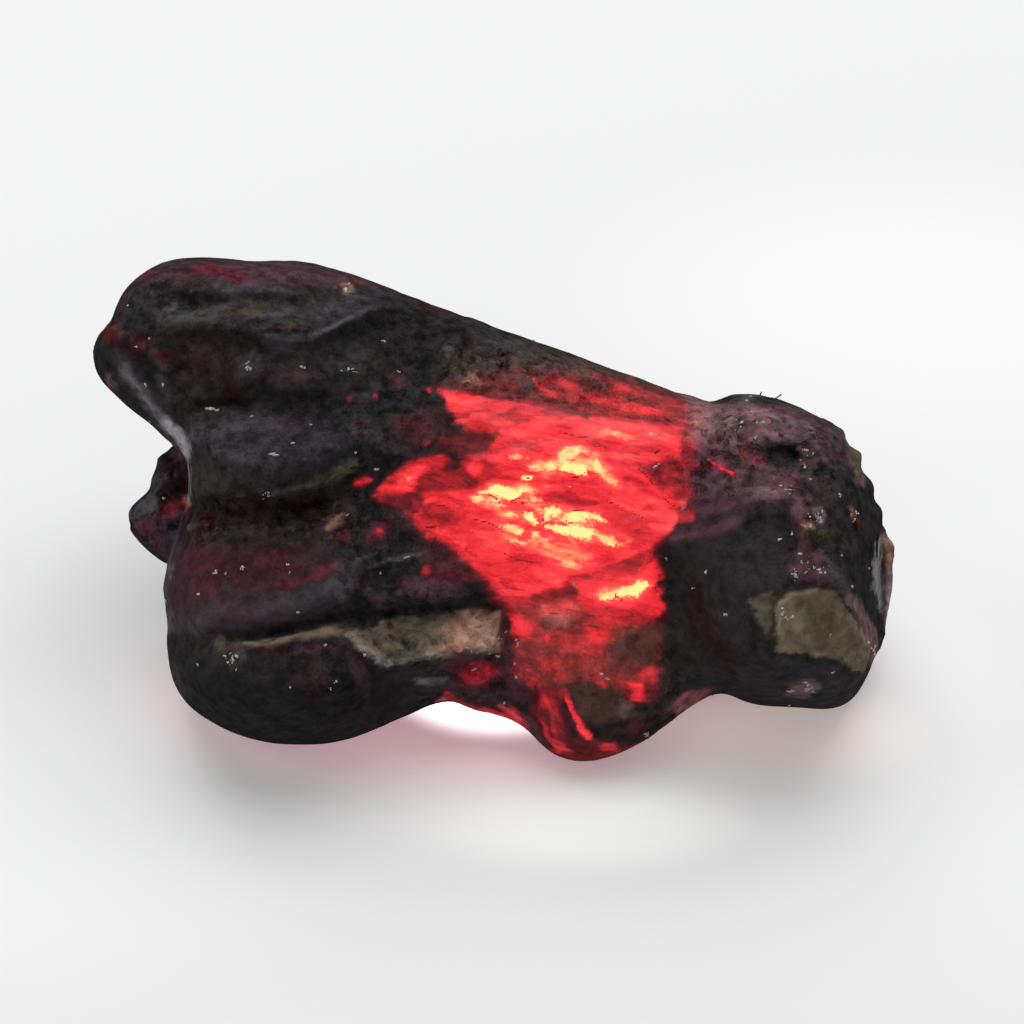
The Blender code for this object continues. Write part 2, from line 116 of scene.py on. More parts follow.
# Outlines that are both carved and coloured, or coloured twice.
knobFacets = {
    "olive": (8.2, -2.6, 8.6, -2.3, 9.4, -2.2, 9.9, -2.3, 10.3, -2.9, 10.7, -3.4, 11.1, -4.0, 10.9, -4.75,
        10.4, -4.5, 10.0, -4.25, 9.2, -4.1, 8.1, -4.05, 8.2, -3.4),
    "small": (7.3, -2.55, 7.6, -2.4, 8.05, -2.35, 8.05, -3.1, 7.85, -3.5, 7.5, -3.0),
    "pale": (11.25, -1.0, 11.6, -0.6, 11.6, -1.2, 11.8, -1.8, 11.7, -3.2, 11.3, -2.4, 11.15, -1.8),
}
crownSide = (5.7, 2.1, 7.4, 2.1, 8.0, 1.2, 7.6, 0.7, 5.8, 0.7)

# The skin: a finer copy of the solid, its zones, and what is carved in it. Heights and widths are in mm.
stoneSkin = {
    "voxel": 0.17,
    "smoothing": 3,
    "finerFacing": 0.3,  # faces turned this far to the front are made twice as fine
    # rounds that even out the places first and last, and the directions
    "placeRounds": (5, 1),
    "chipShare": (1.2, 0.1),  # chips show by this times the roughness, less this much
    "turnRounds": 4,
    # how far skin is turned to the front: from and to where it counts as facing, seen or clear of the rim
    "facing": (0.05, 0.4),
    "seen": (-0.35, 0.05),
    "offRim": (0.1, 0.6),
    "rimCalm": 0.6,
    "shrink": 0.03,
    # size, height, octaves, seed
    "lumps": ((1.5, 1.1, 1.0), 0.10, 2, 11.3),
    "layers": ((2.2, 0.5, 0.55), 0.09, 2, 3.1),
    "layerBend": ((1.3, 1.0, 1.0), 0.5, 2, 23.0),
    "grain": ((0.5, 0.35, 0.35), 0.040, 3, 4.7),
    "pits": ((0.2, 0.2, 0.2), 0.016, 2, 9.2),
    "smoothLumps": 0.25,  # share of the lumps that smooth skin keeps
    "layerMiddle": 0.2,
    "bendAxes": (0, 1, 0.6),
    "chips": (
        # how many, tilt, tallest, seed
        (420, 0.14, 0.09, 7),
        (3200, 0.16, 0.030, 8),
    ),
    "strokeReach": 2.6,
    "zoneSoftness": 0.3,
    "flatSoftness": 0.11,
    "flatFacing": 0.3,
    "flatFewest": 8,  # vertices that a flat break needs
    "hidden": (0.5, 0.3),  # roughness and layering where nothing else is said
    # outline, roughness, layering
    "zones": (
        ((-13, 3.0, -9.2, 2.6, -4.5, 3.2, -1.5, 5.0, -2.5, 7.0, -8, 8.5, -13, 7.5), 0.35, 1.0),
        ((-5.2, 5.0, -3.6, 5.9, -2.6, 6.2, -0.4, 5.4, 0.2, 4.7, -1.6, 4.4, -3.6, 4.4), 0.2, 0.3),
        ((-11.6, 5.4, -10.2, 4.8, -9.2, 2.4, -10.2, 2.6, -12, 4.2), 0.2, 0.1),
        ((-9.6, 3.0, -4.6, 3.1, -3.9, 1.5, -6.2, 0.6, -9.2, 0.4), 0.35, 0.4),
        ((-10.2, 0.4, -6.2, 0.5, -3.9, 1.3, -2.6, -0.6, -4.4, -0.9, -10.2, -0.9), 0.6, 0.6),
        ((-10.2, -0.9, -4.6, -0.9, -3.8, -2.0, -4.6, -3.3, -8.0, -3.7, -10.2, -3.7), 0.12, 0.05),
        ((-10.2, -3.8, -7.0, -3.8, -4.6, -3.5, -3.4, -4.4, -2.0, -5.0, -3.5, -7.4, -10.2, -7.4), 0.05, 0.0),
        ((-5.9, -3.9, -5.2, -3.75, -4.5, -3.75, -3.7, -4.5, -3.6, -5.2, -4.3, -5.8, -5.6, -5.5), 0.3, 0.0),
        ((-4.2, -0.6, -2.0, -0.4, -0.2, -2.4, -0.4, -2.9, -4.8, -3.1), 0.45, 0.5),
        ((-1.5, 4.9, 0.5, 5.0, 6.2, 2.9, 5.6, 2.5, 0, 3.2, -1.6, 3.6), 0.9, 0.4),
        ((-1.5, 3.55, 5.6, 2.5, 5.5, -0.4, 4.9, -3.2, 0.6, -3.6, -2.4, 0.1), 0.3, 0.35),
        ((-3.8, 0.3, -2.9, 1.4, -1.2, 1.9, -0.8, 1.0, -2.2, 0.3), 0.1, 0.1),
        ((0.3, -3.4, 4.9, -3.2, 5.0, -5.6, 2.4, -5.2, 0.2, -5.0), 0.35, 0.0),
        ((0.9, -5.1, 2.9, -5.2, 4.6, -5.8, 4.0, -7.6, 1.2, -7.6), 0.15, 0.1),
        ((5.2, 4.2, 9.2, 4.2, 11.0, 2.4, 9.4, 0.9, 7.0, 0.6, 5.4, 0.8), 0.75, 0.5),
        ((5.2, 0.4, 8.6, 0.2, 8.2, -2.2, 7.2, -4.6, 5.4, -5.0), 0.12, 0.1),
        ((8.8, 0.8, 12.5, 0.8, 12.5, -4.4, 10.9, -4.2, 9.9, -2.1, 8.4, -2.1), 0.4, 0.05),
        ((6.0, -4.4, 11.9, -4.0, 11.5, -6.9, 5.2, -6.9), 0.06, 0.0),
        ((-3.2, -3.0, 0.2, -2.8, 0.2, -4.2, -1.2, -4.2, -3.2, -4.6), 0.5, 0.0),
        ((7.1, -2.2, 10.0, -2.1, 11.1, -4.6, 9.0, -4.2, 7.4, -4.0), 0.12, 0.0),
    ),
    # outline of each flat break in the front
    "flats": (
        (-3.0, -3.15, -1.3, -2.95, 0.1, -2.88, 0.22, -3.5, 0.05, -4.05, -0.6, -4.0, -1.2, -4.15,
            -2.9, -4.4),
        knobFacets["olive"],
        knobFacets["small"],
        (5.2, -5.8, 5.35, -5.45, 5.7, -5.25, 6.3, -5.2, 6.5, -5.35, 6.0, -5.7, 5.5, -5.95),
        (11.25, -1.0, 11.6, -0.6, 11.8, -1.8, 11.7, -3.2, 11.3, -2.4),
        (-10.95, -0.1, -10.6, 0.45, -10.25, 0.4, -10.15, -0.05, -10.6, -0.2),
        (-10.9, -0.3, -10.3, -0.1, -9.9, -0.3, -9.95, -1.3, -10.4, -1.1),
    ),
    # line, height, half width
    "strokes": (
        # head
        ((-8.5, 6.45, -7.7, 6.6, -6.8, 6.6, -6.0, 6.4), 0.06, 0.16),
        ((-8.6, 6.15, -7.6, 6.22, -6.6, 6.3), -0.05, 0.15),
        ((-9.9, 5.75, -9.2, 5.6, -8.6, 5.8, -7.8, 6.0), 0.07, 0.16),
        ((-9.3, 6.35, -8.9, 6.1, -8.6, 6.35), -0.12, 0.17),
        ((-9.7, 6.0, -9.5, 5.85, -9.35, 6.15), 0.07, 0.09),
        ((-6.6, 5.12, -6.0, 5.0, -5.4, 5.06, -4.9, 5.28, -4.3, 5.6, -3.6, 6.0), 0.05, 0.1),
        ((-6.2, 5.3, -5.5, 5.28, -5.0, 5.48, -4.5, 5.75), -0.05, 0.12),
        ((-7.2, 5.7, -6.5, 5.76, -5.9, 5.85), 0.06, 0.1),
        ((-5.2, 6.1, -4.3, 6.2, -3.4, 6.35), 0.05, 0.14),
        ((-11.4, 5.5, -10.6, 5.05, -10.0, 4.6, -9.6, 4.2), 0.1, 0.18),
        ((-11.0, 4.9, -10.3, 4.6, -9.9, 4.2), -0.1, 0.14),
        ((-10.7, 4.1, -10.2, 3.4, -9.7, 2.7, -9.3, 2.1), 0.08, 0.16),
        ((-10.0, 3.7, -9.9, 3.2), -0.05, 0.12),
        ((-7.3, 4.3, -6.8, 4.5, -6.0, 4.6, -5.3, 4.3), 0.06, 0.2),
        ((-8.6, 3.1, -7.9, 3.15, -7.2, 3.05), -0.12, 0.14),
        ((-5.0, 3.9, -4.3, 4.2, -3.6, 4.0), 0.06, 0.14),
        # shoulder
        ((-8.9, 2.2, -8.2, 2.45, -7.4, 2.6, -6.4, 2.75), 0.05, 0.18),
        ((-8.2, 1.85, -7.7, 1.5, -7.2, 1.5, -6.3, 1.8), 0.04, 0.14),
        ((-6.4, 0.52, -5.4, 0.78, -4.7, 1.05, -4.15, 1.42), 0.12, 0.12),
        ((-9.0, 0.2, -7.8, 0.15, -6.5, 0.2, -5.3, 0.4, -4.3, 0.8), -0.17, 0.26),
        ((-8.9, -0.45, -7.6, -0.4, -6.2, -0.5, -5.1, -0.35), 0.06, 0.1),
        ((-8.6, -0.75, -7.2, -0.8, -6.0, -0.75, -4.9, -0.75), -0.06, 0.1),
        ((-4.9, -0.3, -4.5, -0.15, -4.2, 0.1), 0.08, 0.08),
        ((-5.0, -0.5, -4.5, -0.4, -4.1, -0.2), 0.07, 0.07),
        # shelf, strip and scoop
        ((-7.6, -3.85, -6.5, -3.8, -5.8, -3.62, -5.0, -3.42, -4.3, -3.45, -3.8, -3.75,
            -3.1, -4.35), 0.08, 0.1),
        ((-8.2, -3.6, -6.8, -3.6, -5.7, -3.32, -4.8, -3.1, -3.8, -3.0, -3.0, -3.0), -0.08, 0.11),
        ((-5.9, -4.0, -5.2, -3.82, -4.6, -3.8, -4.1, -4.05, -3.7, -4.55, -3.6, -5.1,
            -3.8, -5.5), -0.08, 0.13),
        ((-3.9, -1.2, -3.1, -0.9, -2.3, -0.7), -0.08, 0.1),
        ((-3.6, -1.65, -2.9, -1.35, -2.2, -1.25), 0.07, 0.08),
        ((-3.3, -2.2, -2.5, -1.8, -1.6, -1.9, -1.0, -2.2), -0.05, 0.1),
        ((-2.6, -3.75, -2.42, -4.02), -0.08, 0.08),
        ((-2.9, -4.1, -2.0, -4.2, -1.2, -4.1), 0.04, 0.08),
        # right end
        ((5.0, -0.95, 6.0, -0.75, 7.0, -0.4, 7.6, 0.3, 8.6, 0.4), 0.07, 0.14),
        ((11.2, -0.8, 11.2, -1.8, 11.5, -2.8), 0.05, 0.1),
        ((6.5, 3.2, 7.0, 3.15, 7.4, 3.3), -0.08, 0.14),
        ((7.2, 3.1, 7.45, 3.42, 8.0, 3.5), 0.07, 0.08),
        ((7.8, 2.9, 8.6, 2.7, 9.4, 2.4), 0.06, 0.14),
        ((7.6, 2.25, 8.3, 2.15, 9.0, 2.25, 9.8, 2.0), 0.07, 0.12),
        ((8.1, 1.75, 8.5, 1.72, 8.8, 1.7), -0.3, 0.3),
        ((9.0, 1.85, 9.4, 1.7, 9.5, 1.4), 0.08, 0.13),
        ((6.1, 1.6, 6.8, 1.2, 7.4, 1.0), 0.05, 0.08),
        ((7.3, 0.9, 8.0, 0.75, 8.8, 0.95), -0.05, 0.12),
        ((9.5, -1.2, 9.9, -1.9, 10.4, -2.5), 0.05, 0.1),
        # window, inside its edges
        ((0.4, -2.3, 1.0, -2.5, 1.7, -2.3, 3.0, -1.7, 4.6, -1.05), 0.03, 0.1),
        ((-1.5, 3.6, 0.0, 3.3, 1.2, 3.1, 2.2, 3.0), 0.04, 0.09),
        ((-0.6, 0.6, 0.1, 0.85, 1.0, 0.65, 1.5, 0.45), 0.04, 0.08),
        ((1.4, -0.25, 2.2, -0.35, 3.0, -0.6, 4.0, -0.85), 0.04, 0.08),
        ((-0.4, -0.2, 0.6, -0.3, 1.4, -0.7), -0.04, 0.09),
        ((1.0, 2.1, 2.0, 2.2, 3.2, 1.6, 3.9, 0.8), -0.04, 0.1),
        # toe
        ((1.4, -5.3, 1.4, -6.0, 1.6, -6.6, 2.0, -7.0), 0.07, 0.14),
        ((2.1, -5.3, 2.3, -5.8, 2.6, -6.2, 2.8, -6.55), 0.07, 0.09),
        ((2.0, -5.6, 2.1, -6.1, 2.35, -6.6), -0.12, 0.1),
        ((3.2, -4.9, 3.5, -5.2, 3.6, -5.6), -0.08, 0.1),
        ((0.35, -3.2, 0.4, -4.0, 0.5, -4.6), -0.07, 0.1),
        ((-1.2, -5.15, -0.5, -5.2, 0.3, -5.1), -0.08, 0.1),
        ((-1.4, -4.3, -0.6, -4.15, 0.2, -4.3), -0.07, 0.1),
    ),
    # lumps and notches on the rims: u, v, radius, height
    "nicks": (
        (10.25, 2.35, 0.22, 0.1), (10.6, 1.95, 0.2, -0.08), (10.95, 1.75, 0.2, 0.13),
        (11.1, 1.3, 0.2, -0.1), (11.25, 0.75, 0.25, 0.1), (11.45, 0.35, 0.16, -0.06),
        (11.6, 0.05, 0.3, 0.16), (11.8, -0.45, 0.3, 0.12), (12.0, -1.0, 0.25, 0.1),
        (11.9, -3.2, 0.3, -0.05), (11.6, -3.9, 0.25, 0.05), (-10.3, 1.25, 0.3, -0.16),
        (-10.55, 0.7, 0.25, -0.08), (-9.95, 1.8, 0.2, -0.1), (-11.05, 0.0, 0.3, 0.07),
        (-9.95, -1.3, 0.3, 0.05), (-9.95, -2.3, 0.3, 0.06), (-9.9, -3.4, 0.25, -0.06),
        (-4.35, 6.95, 0.14, 0.1), (-12.0, 4.6, 0.9, 0.1), (-12.2, 3.9, 0.7, 0.06),
        (-11.0, 6.2, 0.8, 0.06), (-11.5, 5.7, 0.3, -0.06), (1.2, 5.0, 0.4, -0.04), (4.3, 3.95, 0.3, 0.05),
        (6.4, 3.45, 0.3, -0.05),
    ),
    # small lumps: u, v, radius, height
    "crumbs": (
        (-7.85, -3.75, 0.2, 0.12), (-7.55, -4.15, 0.16, 0.1), (-7.75, -4.4, 0.1, 0.06),
        (-7.2, -4.05, 0.12, 0.06), (9.4, 0.0, 0.14, 0.11), (9.5, -0.35, 0.1, 0.08),
        (9.15, -0.4, 0.09, 0.07), (9.2, 0.35, 0.09, 0.06), (9.6, -0.65, 0.14, 0.07),
        (8.62, -1.8, 0.13, 0.1), (8.8, -1.3, 0.13, 0.08), (9.2, -1.5, 0.12, 0.07),
        (9.5, -1.4, 0.12, 0.07), (9.3, -1.95, 0.11, 0.07), (9.0, -1.9, 0.1, 0.07),
        (9.15, -5.25, 0.16, 0.1), (9.35, -5.05, 0.12, 0.09), (8.75, -5.25, 0.1, 0.06),
        (10.4, 0.05, 0.12, 0.08), (10.65, -0.25, 0.11, 0.07), (11.35, -4.2, 0.12, 0.07),
        (11.85, -1.2, 0.3, 0.1), (8.3, -2.7, 0.06, 0.05), (8.35, -3.05, 0.06, 0.05),
        (8.3, -3.4, 0.06, 0.04), (6.2, -1.75, 0.1, 0.06), (6.7, -2.9, 0.1, 0.05), (6.5, -3.2, 0.1, 0.05),
        (5.6, -5.0, 0.16, 0.07), (6.3, -5.6, 0.1, 0.06), (6.55, -5.55, 0.08, 0.05),
        (-4.35, 6.6, 0.13, 0.09), (-4.0, 2.3, 0.12, 0.06), (0.7, -3.8, 0.1, 0.08),
        (0.6, -4.4, 0.07, 0.06), (3.2, -4.75, 0.1, 0.08), (4.5, -6.55, 0.09, 0.07),
        (5.0, -1.1, 0.1, 0.08), (-4.1, 0.1, 0.12, 0.08), (-6.7, 0.55, 0.12, 0.08),
        (-8.9, -0.55, 0.12, 0.07), (-4.8, -4.85, 1.1, -0.09), (6.6, 2.9, 0.13, 0.09),
        (6.9, 2.5, 0.1, 0.07), (7.3, 2.3, 0.12, 0.08), (8.2, 2.9, 0.13, 0.08), (8.8, 2.5, 0.15, 0.09),
        (9.4, 2.2, 0.12, 0.08), (9.7, 1.5, 0.14, 0.09), (6.3, 1.9, 0.1, 0.06), (8.9, 1.3, 0.13, 0.09),
        (9.2, 0.9, 0.11, 0.07), (10.2, 1.8, 0.13, 0.08), (7.0, 1.7, 0.09, 0.06), (7.6, 1.3, 0.12, 0.07),
        (6.1, 1.2, 0.09, 0.05), (-7.1, 4.2, 0.14, 0.08), (-6.8, 4.45, 0.1, 0.06), (-5.6, 4.3, 0.1, 0.06),
        (-5.9, 5.4, 0.1, 0.06), (-7.4, 5.8, 0.13, 0.06), (-10.0, 6.4, 0.13, 0.07), (-8.9, 6.5, 0.1, 0.06),
        (-4.7, 6.6, 0.1, 0.07), (-11.4, 3.85, 0.14, 0.08), (8.6, -5.05, 0.14, 0.08),
        (9.5, -5.2, 0.12, 0.07), (9.0, -5.4, 0.1, 0.05), (4.75, 1.4, 0.09, 0.07), (5.3, 1.0, 0.12, 0.07),
        (6.0, 2.4, 0.12, 0.08), (5.9, 0.0, 0.14, 0.07), (-1.9, 1.95, 0.12, 0.07), (-2.7, 3.9, 0.14, 0.08),
        (7.5, 3.3, 0.12, 0.08), (10.8, 1.2, 0.14, 0.08),
    ),
}

# Painted glow: emission that stands in for the light from below shining through the stone, from 0 to 1.
# Later rows lie over earlier ones.
window = {
    "warpShare": 0.3,  # how much streaks and sparks bend, next to patches
    # share of the width or radius where the light starts to fade and ends
    "streakFade": (0.5, 1.3),
    "sparkFade": (0.4, 1.3),
    "flakeSlope": 2.5,
    "flakeFacing": 0.1,
    "usualFlakeHeat": 0.9,
    "crackReach": 0.5,
    "patches": (
        # outline, softness, heat
        ((-0.9, 3.9, 0.4, 4.3, 2.6, 4.3, 5.8, 3.6, 6.6, 2.9, 6.2, 2.2, 3.0, 2.7, 0.0, 3.2,
            -1.6, 3.6), 0.4, 0.22),
        ((0.6, 3.7, 1.6, 3.95, 3.4, 3.9, 5.4, 3.4, 6.1, 2.9, 5.8, 2.5, 3.0, 2.85, 1.0, 3.2), 0.3, 0.34),
        ((2.9, 3.7, 3.6, 3.8, 4.7, 3.5, 5.6, 3.1, 5.2, 2.9, 3.6, 3.1), 0.25, 0.36),
        ((1.9, 3.9, 2.6, 3.8, 2.5, 3.4, 2.0, 3.4), 0.16, 0.42),
        ((3.2, 3.3, 4.2, 3.2, 5.5, 3.05, 5.4, 2.85, 3.8, 2.9), 0.18, 0.4),
        ((0.4, 4.0, 1.0, 4.0, 1.3, 3.5, 0.8, 3.35), 0.16, 0.1),
        ((2.7, 4.0, 3.6, 3.75, 3.4, 3.55, 2.7, 3.6), 0.16, 0.16),
        ((-0.4, 3.9, 0.6, 4.1, 0.9, 3.6, 0.2, 3.4, -0.6, 3.5), 0.25, 0.2),
        ((-1.7, 3.7, 0, 3.35, 1.6, 3.15, 3.0, 2.9, 5.7, 2.7, 6.0, 2.0, 5.8, 1.0, 6.0, 0.1, 5.3, -0.4,
            4.9, -1.1, 5.0, -3.2, 4.7, -5.5, 3.8, -5.3, 2.6, -4.9, 1.8, -5.2, 0.8, -5.3, 0.35, -4.6,
            0.3, -3.0, -0.3, -2.2, -1.7, -1.1, -2.6, -0.1, -2.2, 0.8, -0.9, 1.5, -1.1, 2.9), 0.25, 0.28),
        ((-2.6, 2.9, -1.3, 3.4, -1.0, 2.4, -0.9, 1.7, -2.4, 1.8, -3.2, 2.2), 0.35, 0.13),
        ((-1.5, 3.55, 0, 3.3, 1.6, 3.1, 3.0, 2.75, 5.6, 2.5, 5.75, 2.0, 5.5, 1.5, 5.6, 0.9, 4.9, 0.4,
            4.0, 1.0, 3.0, 0.9, 1.5, 0.9, -0.9, 1.1, -1.0, 1.6, -0.1, 1.9, 0.1, 2.3, -0.9, 2.5,
            -1.3, 3.0), 0.13, 0.54),
        ((-0.8, 3.3, 0.4, 3.15, 0.9, 2.9, 0.2, 2.55, -0.8, 2.6, -1.1, 2.9), 0.2, 0.56),
        ((2.4, 2.6, 3.3, 2.62, 5.5, 2.45, 5.6, 1.7, 4.6, 1.3, 3.9, 1.2, 3.1, 1.9), 0.25, 0.6),
        ((0.1, 2.1, 1.0, 2.4, 2.2, 2.3, 2.9, 1.9, 2.8, 1.1, 1.0, 1.0, 0.0, 1.5), 0.2, 0.55),
        ((-1.0, 1.35, -0.6, 1.6, -0.2, 1.45, 0.0, 1.15, -0.6, 1.1), 0.18, 0.52),
        ((-2.5, -0.05, -2.0, 0.55, -0.8, 0.7, 0.0, 0.95, 1.5, 0.9, 4.0, 0.85, 4.9, 0.35, 5.35, 0.0,
            5.3, -0.3, 4.9, -0.75, 4.6, -1.05, 3.0, -1.65, 1.7, -2.25, 1.0, -2.5, 0.3, -2.4, -0.4, -1.9,
            -1.5, -0.95, -2.0, -0.5), 0.13, 0.58),
        ((-2.6, 0.35, -1.4, 0.5, -1.0, 0.2, -1.3, -0.3, -2.1, -0.5, -2.6, 0.0), 0.2, 0.45),
        ((2.3, -2.05, 3.2, -1.6, 4.6, -1.15, 4.8, -1.8, 4.98, -2.8, 4.6, -3.1, 3.6, -3.1,
            2.6, -2.8), 0.2, 0.5),
        ((0.35, -2.5, 1.0, -2.6, 1.35, -2.9, 0.9, -3.2, 0.4, -2.95), 0.14, 0.33),
        ((0.4, -3.0, 1.3, -3.05, 1.45, -3.5, 0.8, -3.75, 0.5, -3.4), 0.14, 0.46),
        ((1.2, -2.5, 2.2, -2.1, 2.45, -2.4, 2.3, -2.65, 1.5, -2.75), 0.12, 0.29),
        ((1.4, -2.65, 2.3, -2.6, 2.5, -3.1, 1.9, -3.3, 1.4, -3.1), 0.14, 0.44),
        ((1.5, -3.15, 2.5, -3.1, 2.6, -3.5, 1.7, -3.6), 0.15, 0.28),
        ((2.4, -3.0, 4.9, -2.9, 4.5, -3.5, 3.4, -3.9, 2.6, -3.8), 0.35, 0.44),
        ((1.2, -3.4, 2.4, -3.4, 3.0, -4.0, 2.9, -4.6, 1.2, -4.5), 0.35, 0.34),
        ((1.0, -4.4, 2.0, -4.3, 2.2, -4.9, 1.1, -5.0), 0.25, 0.37),
        ((3.3, -3.7, 4.95, -3.1, 4.95, -4.6, 3.5, -4.7), 0.35, 0.17),
        ((-3.6, 0.4, -2.9, 1.2, -2.2, 1.65, -1.3, 1.75, -1.15, 1.4, -2.0, 1.0, -2.4, 0.5,
            -3.2, 0.3), 0.15, 0.48),
        ((-3.0, 0.7, -2.5, 1.25, -2.0, 1.35, -2.1, 1.05, -2.5, 0.65), 0.16, 0.67),
        ((-3.4, 0.35, -2.9, 0.6, -2.4, 0.4, -1.7, 0.3, -2.2, 0.0, -3.0, 0.1), 0.2, 0.32),
        ((-1.7, 1.3, -0.9, 1.2, -0.6, 0.8, -2.0, 0.6, -2.3, 0.85), 0.15, 0.37),
        ((-4.15, 0.8, -3.75, 1.15, -3.5, 1.0, -3.85, 0.72), 0.12, 0.5),
        ((-1.3, 2.3, -0.2, 2.15, 0.05, 1.8, -0.9, 1.65, -1.7, 1.9), 0.2, 0.27),
        ((-0.5, 2.4, 0.6, 2.9, 1.9, 2.75, 2.3, 2.95, 0.9, 3.1, -0.6, 3.15), 0.18, 0.46),
        ((-1.2, 2.6, -0.5, 2.55, 0.3, 3.0, -0.6, 2.95), 0.12, 0.5),
        ((4.2, 1.3, 4.6, 0.8, 5.0, 0.55, 5.7, 0.7, 5.75, 1.5, 5.2, 1.65, 4.6, 1.45), 0.2, 0.32),
        ((4.9, 0.5, 5.6, 0.35, 5.65, 0.1, 5.1, 0.15), 0.1, 0.5),
        ((5.5, 2.6, 5.95, 2.65, 6.0, 1.3, 5.5, 1.4), 0.2, 0.34),
        ((5.3, 0.05, 5.9, 0.05, 5.9, -0.35, 5.4, -0.3), 0.15, 0.35),
        ((3.0, -1.75, 4.4, -1.2, 4.5, -1.6, 4.0, -1.9, 3.2, -1.95), 0.12, 0.41),
        ((1.0, -0.75, 2.2, -0.8, 3.2, -1.2, 2.6, -1.7, 1.6, -1.55), 0.25, 0.71),
        ((0.2, 0.0, 1.2, 0.1, 1.5, -0.7, 0.8, -0.95, 0.2, -0.6), 0.25, 0.72),
        ((0.1, -0.05, 0.9, 0.15, 1.5, 0.28, 2.1, 0.25, 3.0, 0.1, 3.4, -0.25, 4.1, -0.75, 3.6, -1.05,
            2.9, -0.95, 2.0, -0.85, 0.9, -0.95, 0.15, -0.7), 0.16, 0.7),
        ((1.3, 0.15, 2.0, 0.2, 2.9, -0.1, 3.0, -0.7, 2.2, -0.7, 1.4, -0.5), 0.2, 0.84),
        ((1.2, -0.7, 2.2, -0.75, 2.5, -0.9, 1.6, -1.0), 0.12, 0.84),
        ((-0.75, 0.45, -0.1, 0.8, 0.9, 0.7, 1.5, 0.45, 1.3, 0.2, 0.4, 0.12, -0.6, 0.2), 0.12, 0.76),
        ((1.0, 1.15, 1.2, 1.6, 1.8, 1.7, 2.0, 2.0, 2.8, 2.05, 3.2, 1.6, 3.75, 0.75, 3.2, 0.85, 2.8, 1.05,
            2.0, 1.02), 0.14, 0.7),
        ((2.9, -2.5, 3.2, -2.1, 4.4, -1.82, 4.75, -2.2, 4.3, -2.6, 3.8, -2.9, 3.2, -2.7), 0.18, 0.64),
        ((2.8, 2.3, 3.4, 2.6, 3.9, 2.4, 3.7, 2.15, 3.1, 2.1), 0.16, 0.7),
        ((1.9, 2.9, 2.6, 2.78, 2.75, 2.6, 2.2, 2.7), 0.07, 0.66),
        ((4.0, 0.3, 5.2, 0.05, 5.2, -0.3, 4.7, -0.7, 3.8, -0.45), 0.2, 0.55),
        ((-1.1, -4.65, -0.5, -4.35, 0.2, -4.6, -0.1, -5.15, -0.9, -5.15), 0.25, 0.27),
        ((-0.9, -4.85, -0.4, -4.75, -0.2, -5.0, -0.7, -5.1), 0.2, 0.32),
        ((2.75, -4.75, 3.2, -4.8, 3.4, -5.15, 3.1, -5.15), 0.12, 0.42),
        ((3.7, -5.2, 4.4, -4.7, 4.85, -4.6, 4.8, -5.4, 4.3, -5.7, 3.8, -5.6), 0.2, 0.3),
        ((4.3, -4.75, 4.6, -4.5, 4.8, -4.6, 4.7, -4.95, 4.5, -5.0), 0.14, 0.35),
        ((3.95, -5.05, 4.3, -4.95, 4.45, -5.25, 4.3, -5.55, 4.05, -5.5), 0.12, 0.56),
        ((0.2, -5.6, 0.7, -5.8, 0.95, -6.2, 0.6, -6.2), 0.12, 0.45),
        ((0.9, -5.3, 1.4, -5.15, 2.2, -5.2, 3.0, -6.6, 3.9, -6.8, 3.8, -7.2, 2.4, -7.5, 1.6, -7.3,
            1.0, -6.0), 0.2, 0.2),
        ((1.35, -5.3, 1.8, -5.25, 2.05, -6.4, 1.8, -6.7, 1.4, -6.1), 0.12, 0.32),
        ((1.35, -5.15, 2.1, -5.15, 2.2, -5.45, 1.4, -5.5), 0.12, 0.3),
        ((1.95, -5.55, 2.1, -5.6, 2.45, -6.5, 2.2, -6.7), 0.1, 0.1),
        ((1.6, -6.75, 2.05, -6.8, 2.2, -7.1, 1.8, -7.15), 0.1, 0.42),
        ((3.15, -6.85, 3.6, -6.8, 3.7, -7.05, 3.25, -7.1), 0.1, 0.4),
        ((2.7, -3.3, 3.3, -3.35, 3.4, -3.8, 2.8, -3.75), 0.18, 0.51),
        ((5.2, -5.85, 5.3, -5.5, 5.7, -5.25, 6.3, -5.2, 6.5, -5.35, 6.0, -5.7, 5.5, -5.95), 0.06, 0.2),
        ((0.3, -3.1, 0.5, -3.1, 0.5, -4.6, 0.25, -4.6), 0.12, 0.1),
        ((-2.4, -1.0, -1.4, -1.0, -0.4, -1.9, -1.1, -2.0, -2.1, -1.6), 0.2, 0.15),
    ),
    "streaks": (
        # line, half width, heat
        ((2.9, -1.66, 3.6, -1.4, 4.5, -1.0), 0.07, 0.6),
        ((1.15, 3.88, 1.45, 3.6, 1.8, 3.38), 0.06, 0.5),
        ((6.3, 1.55, 6.6, 1.3, 6.98, 1.12), 0.06, 0.55),
        ((2.15, -5.4, 2.35, -5.9, 2.55, -6.35, 2.7, -6.5), 0.09, 0.52),
        ((2.4, -6.0, 2.6, -6.35, 2.8, -6.6), 0.13, 0.46),
        ((1.5, -5.4, 1.7, -5.9, 1.75, -6.4), 0.07, 0.4),
        ((1.5, -6.2, 1.55, -6.6, 1.75, -6.9), 0.08, 0.36),
        ((1.5, -7.2, 2.4, -7.4, 3.4, -7.25, 4.4, -6.9, 5.5, -6.35, 7.0, -5.65), 0.14, 0.2),
        ((-1.4, -5.4, -0.9, -5.72, -0.1, -5.95, 0.5, -6.1, 1.0, -6.4), 0.14, 0.31),
        ((0.2, 1.6, 0.5, 1.9, 0.3, 2.2), 0.06, 0.54),
        ((1.0, 2.1, 1.4, 2.1), 0.04, 0.66),
        ((0.3, 2.75, 0.5, 2.6), 0.06, 0.6),
        ((0.85, 1.0, 1.1, 1.0), 0.06, 0.84),
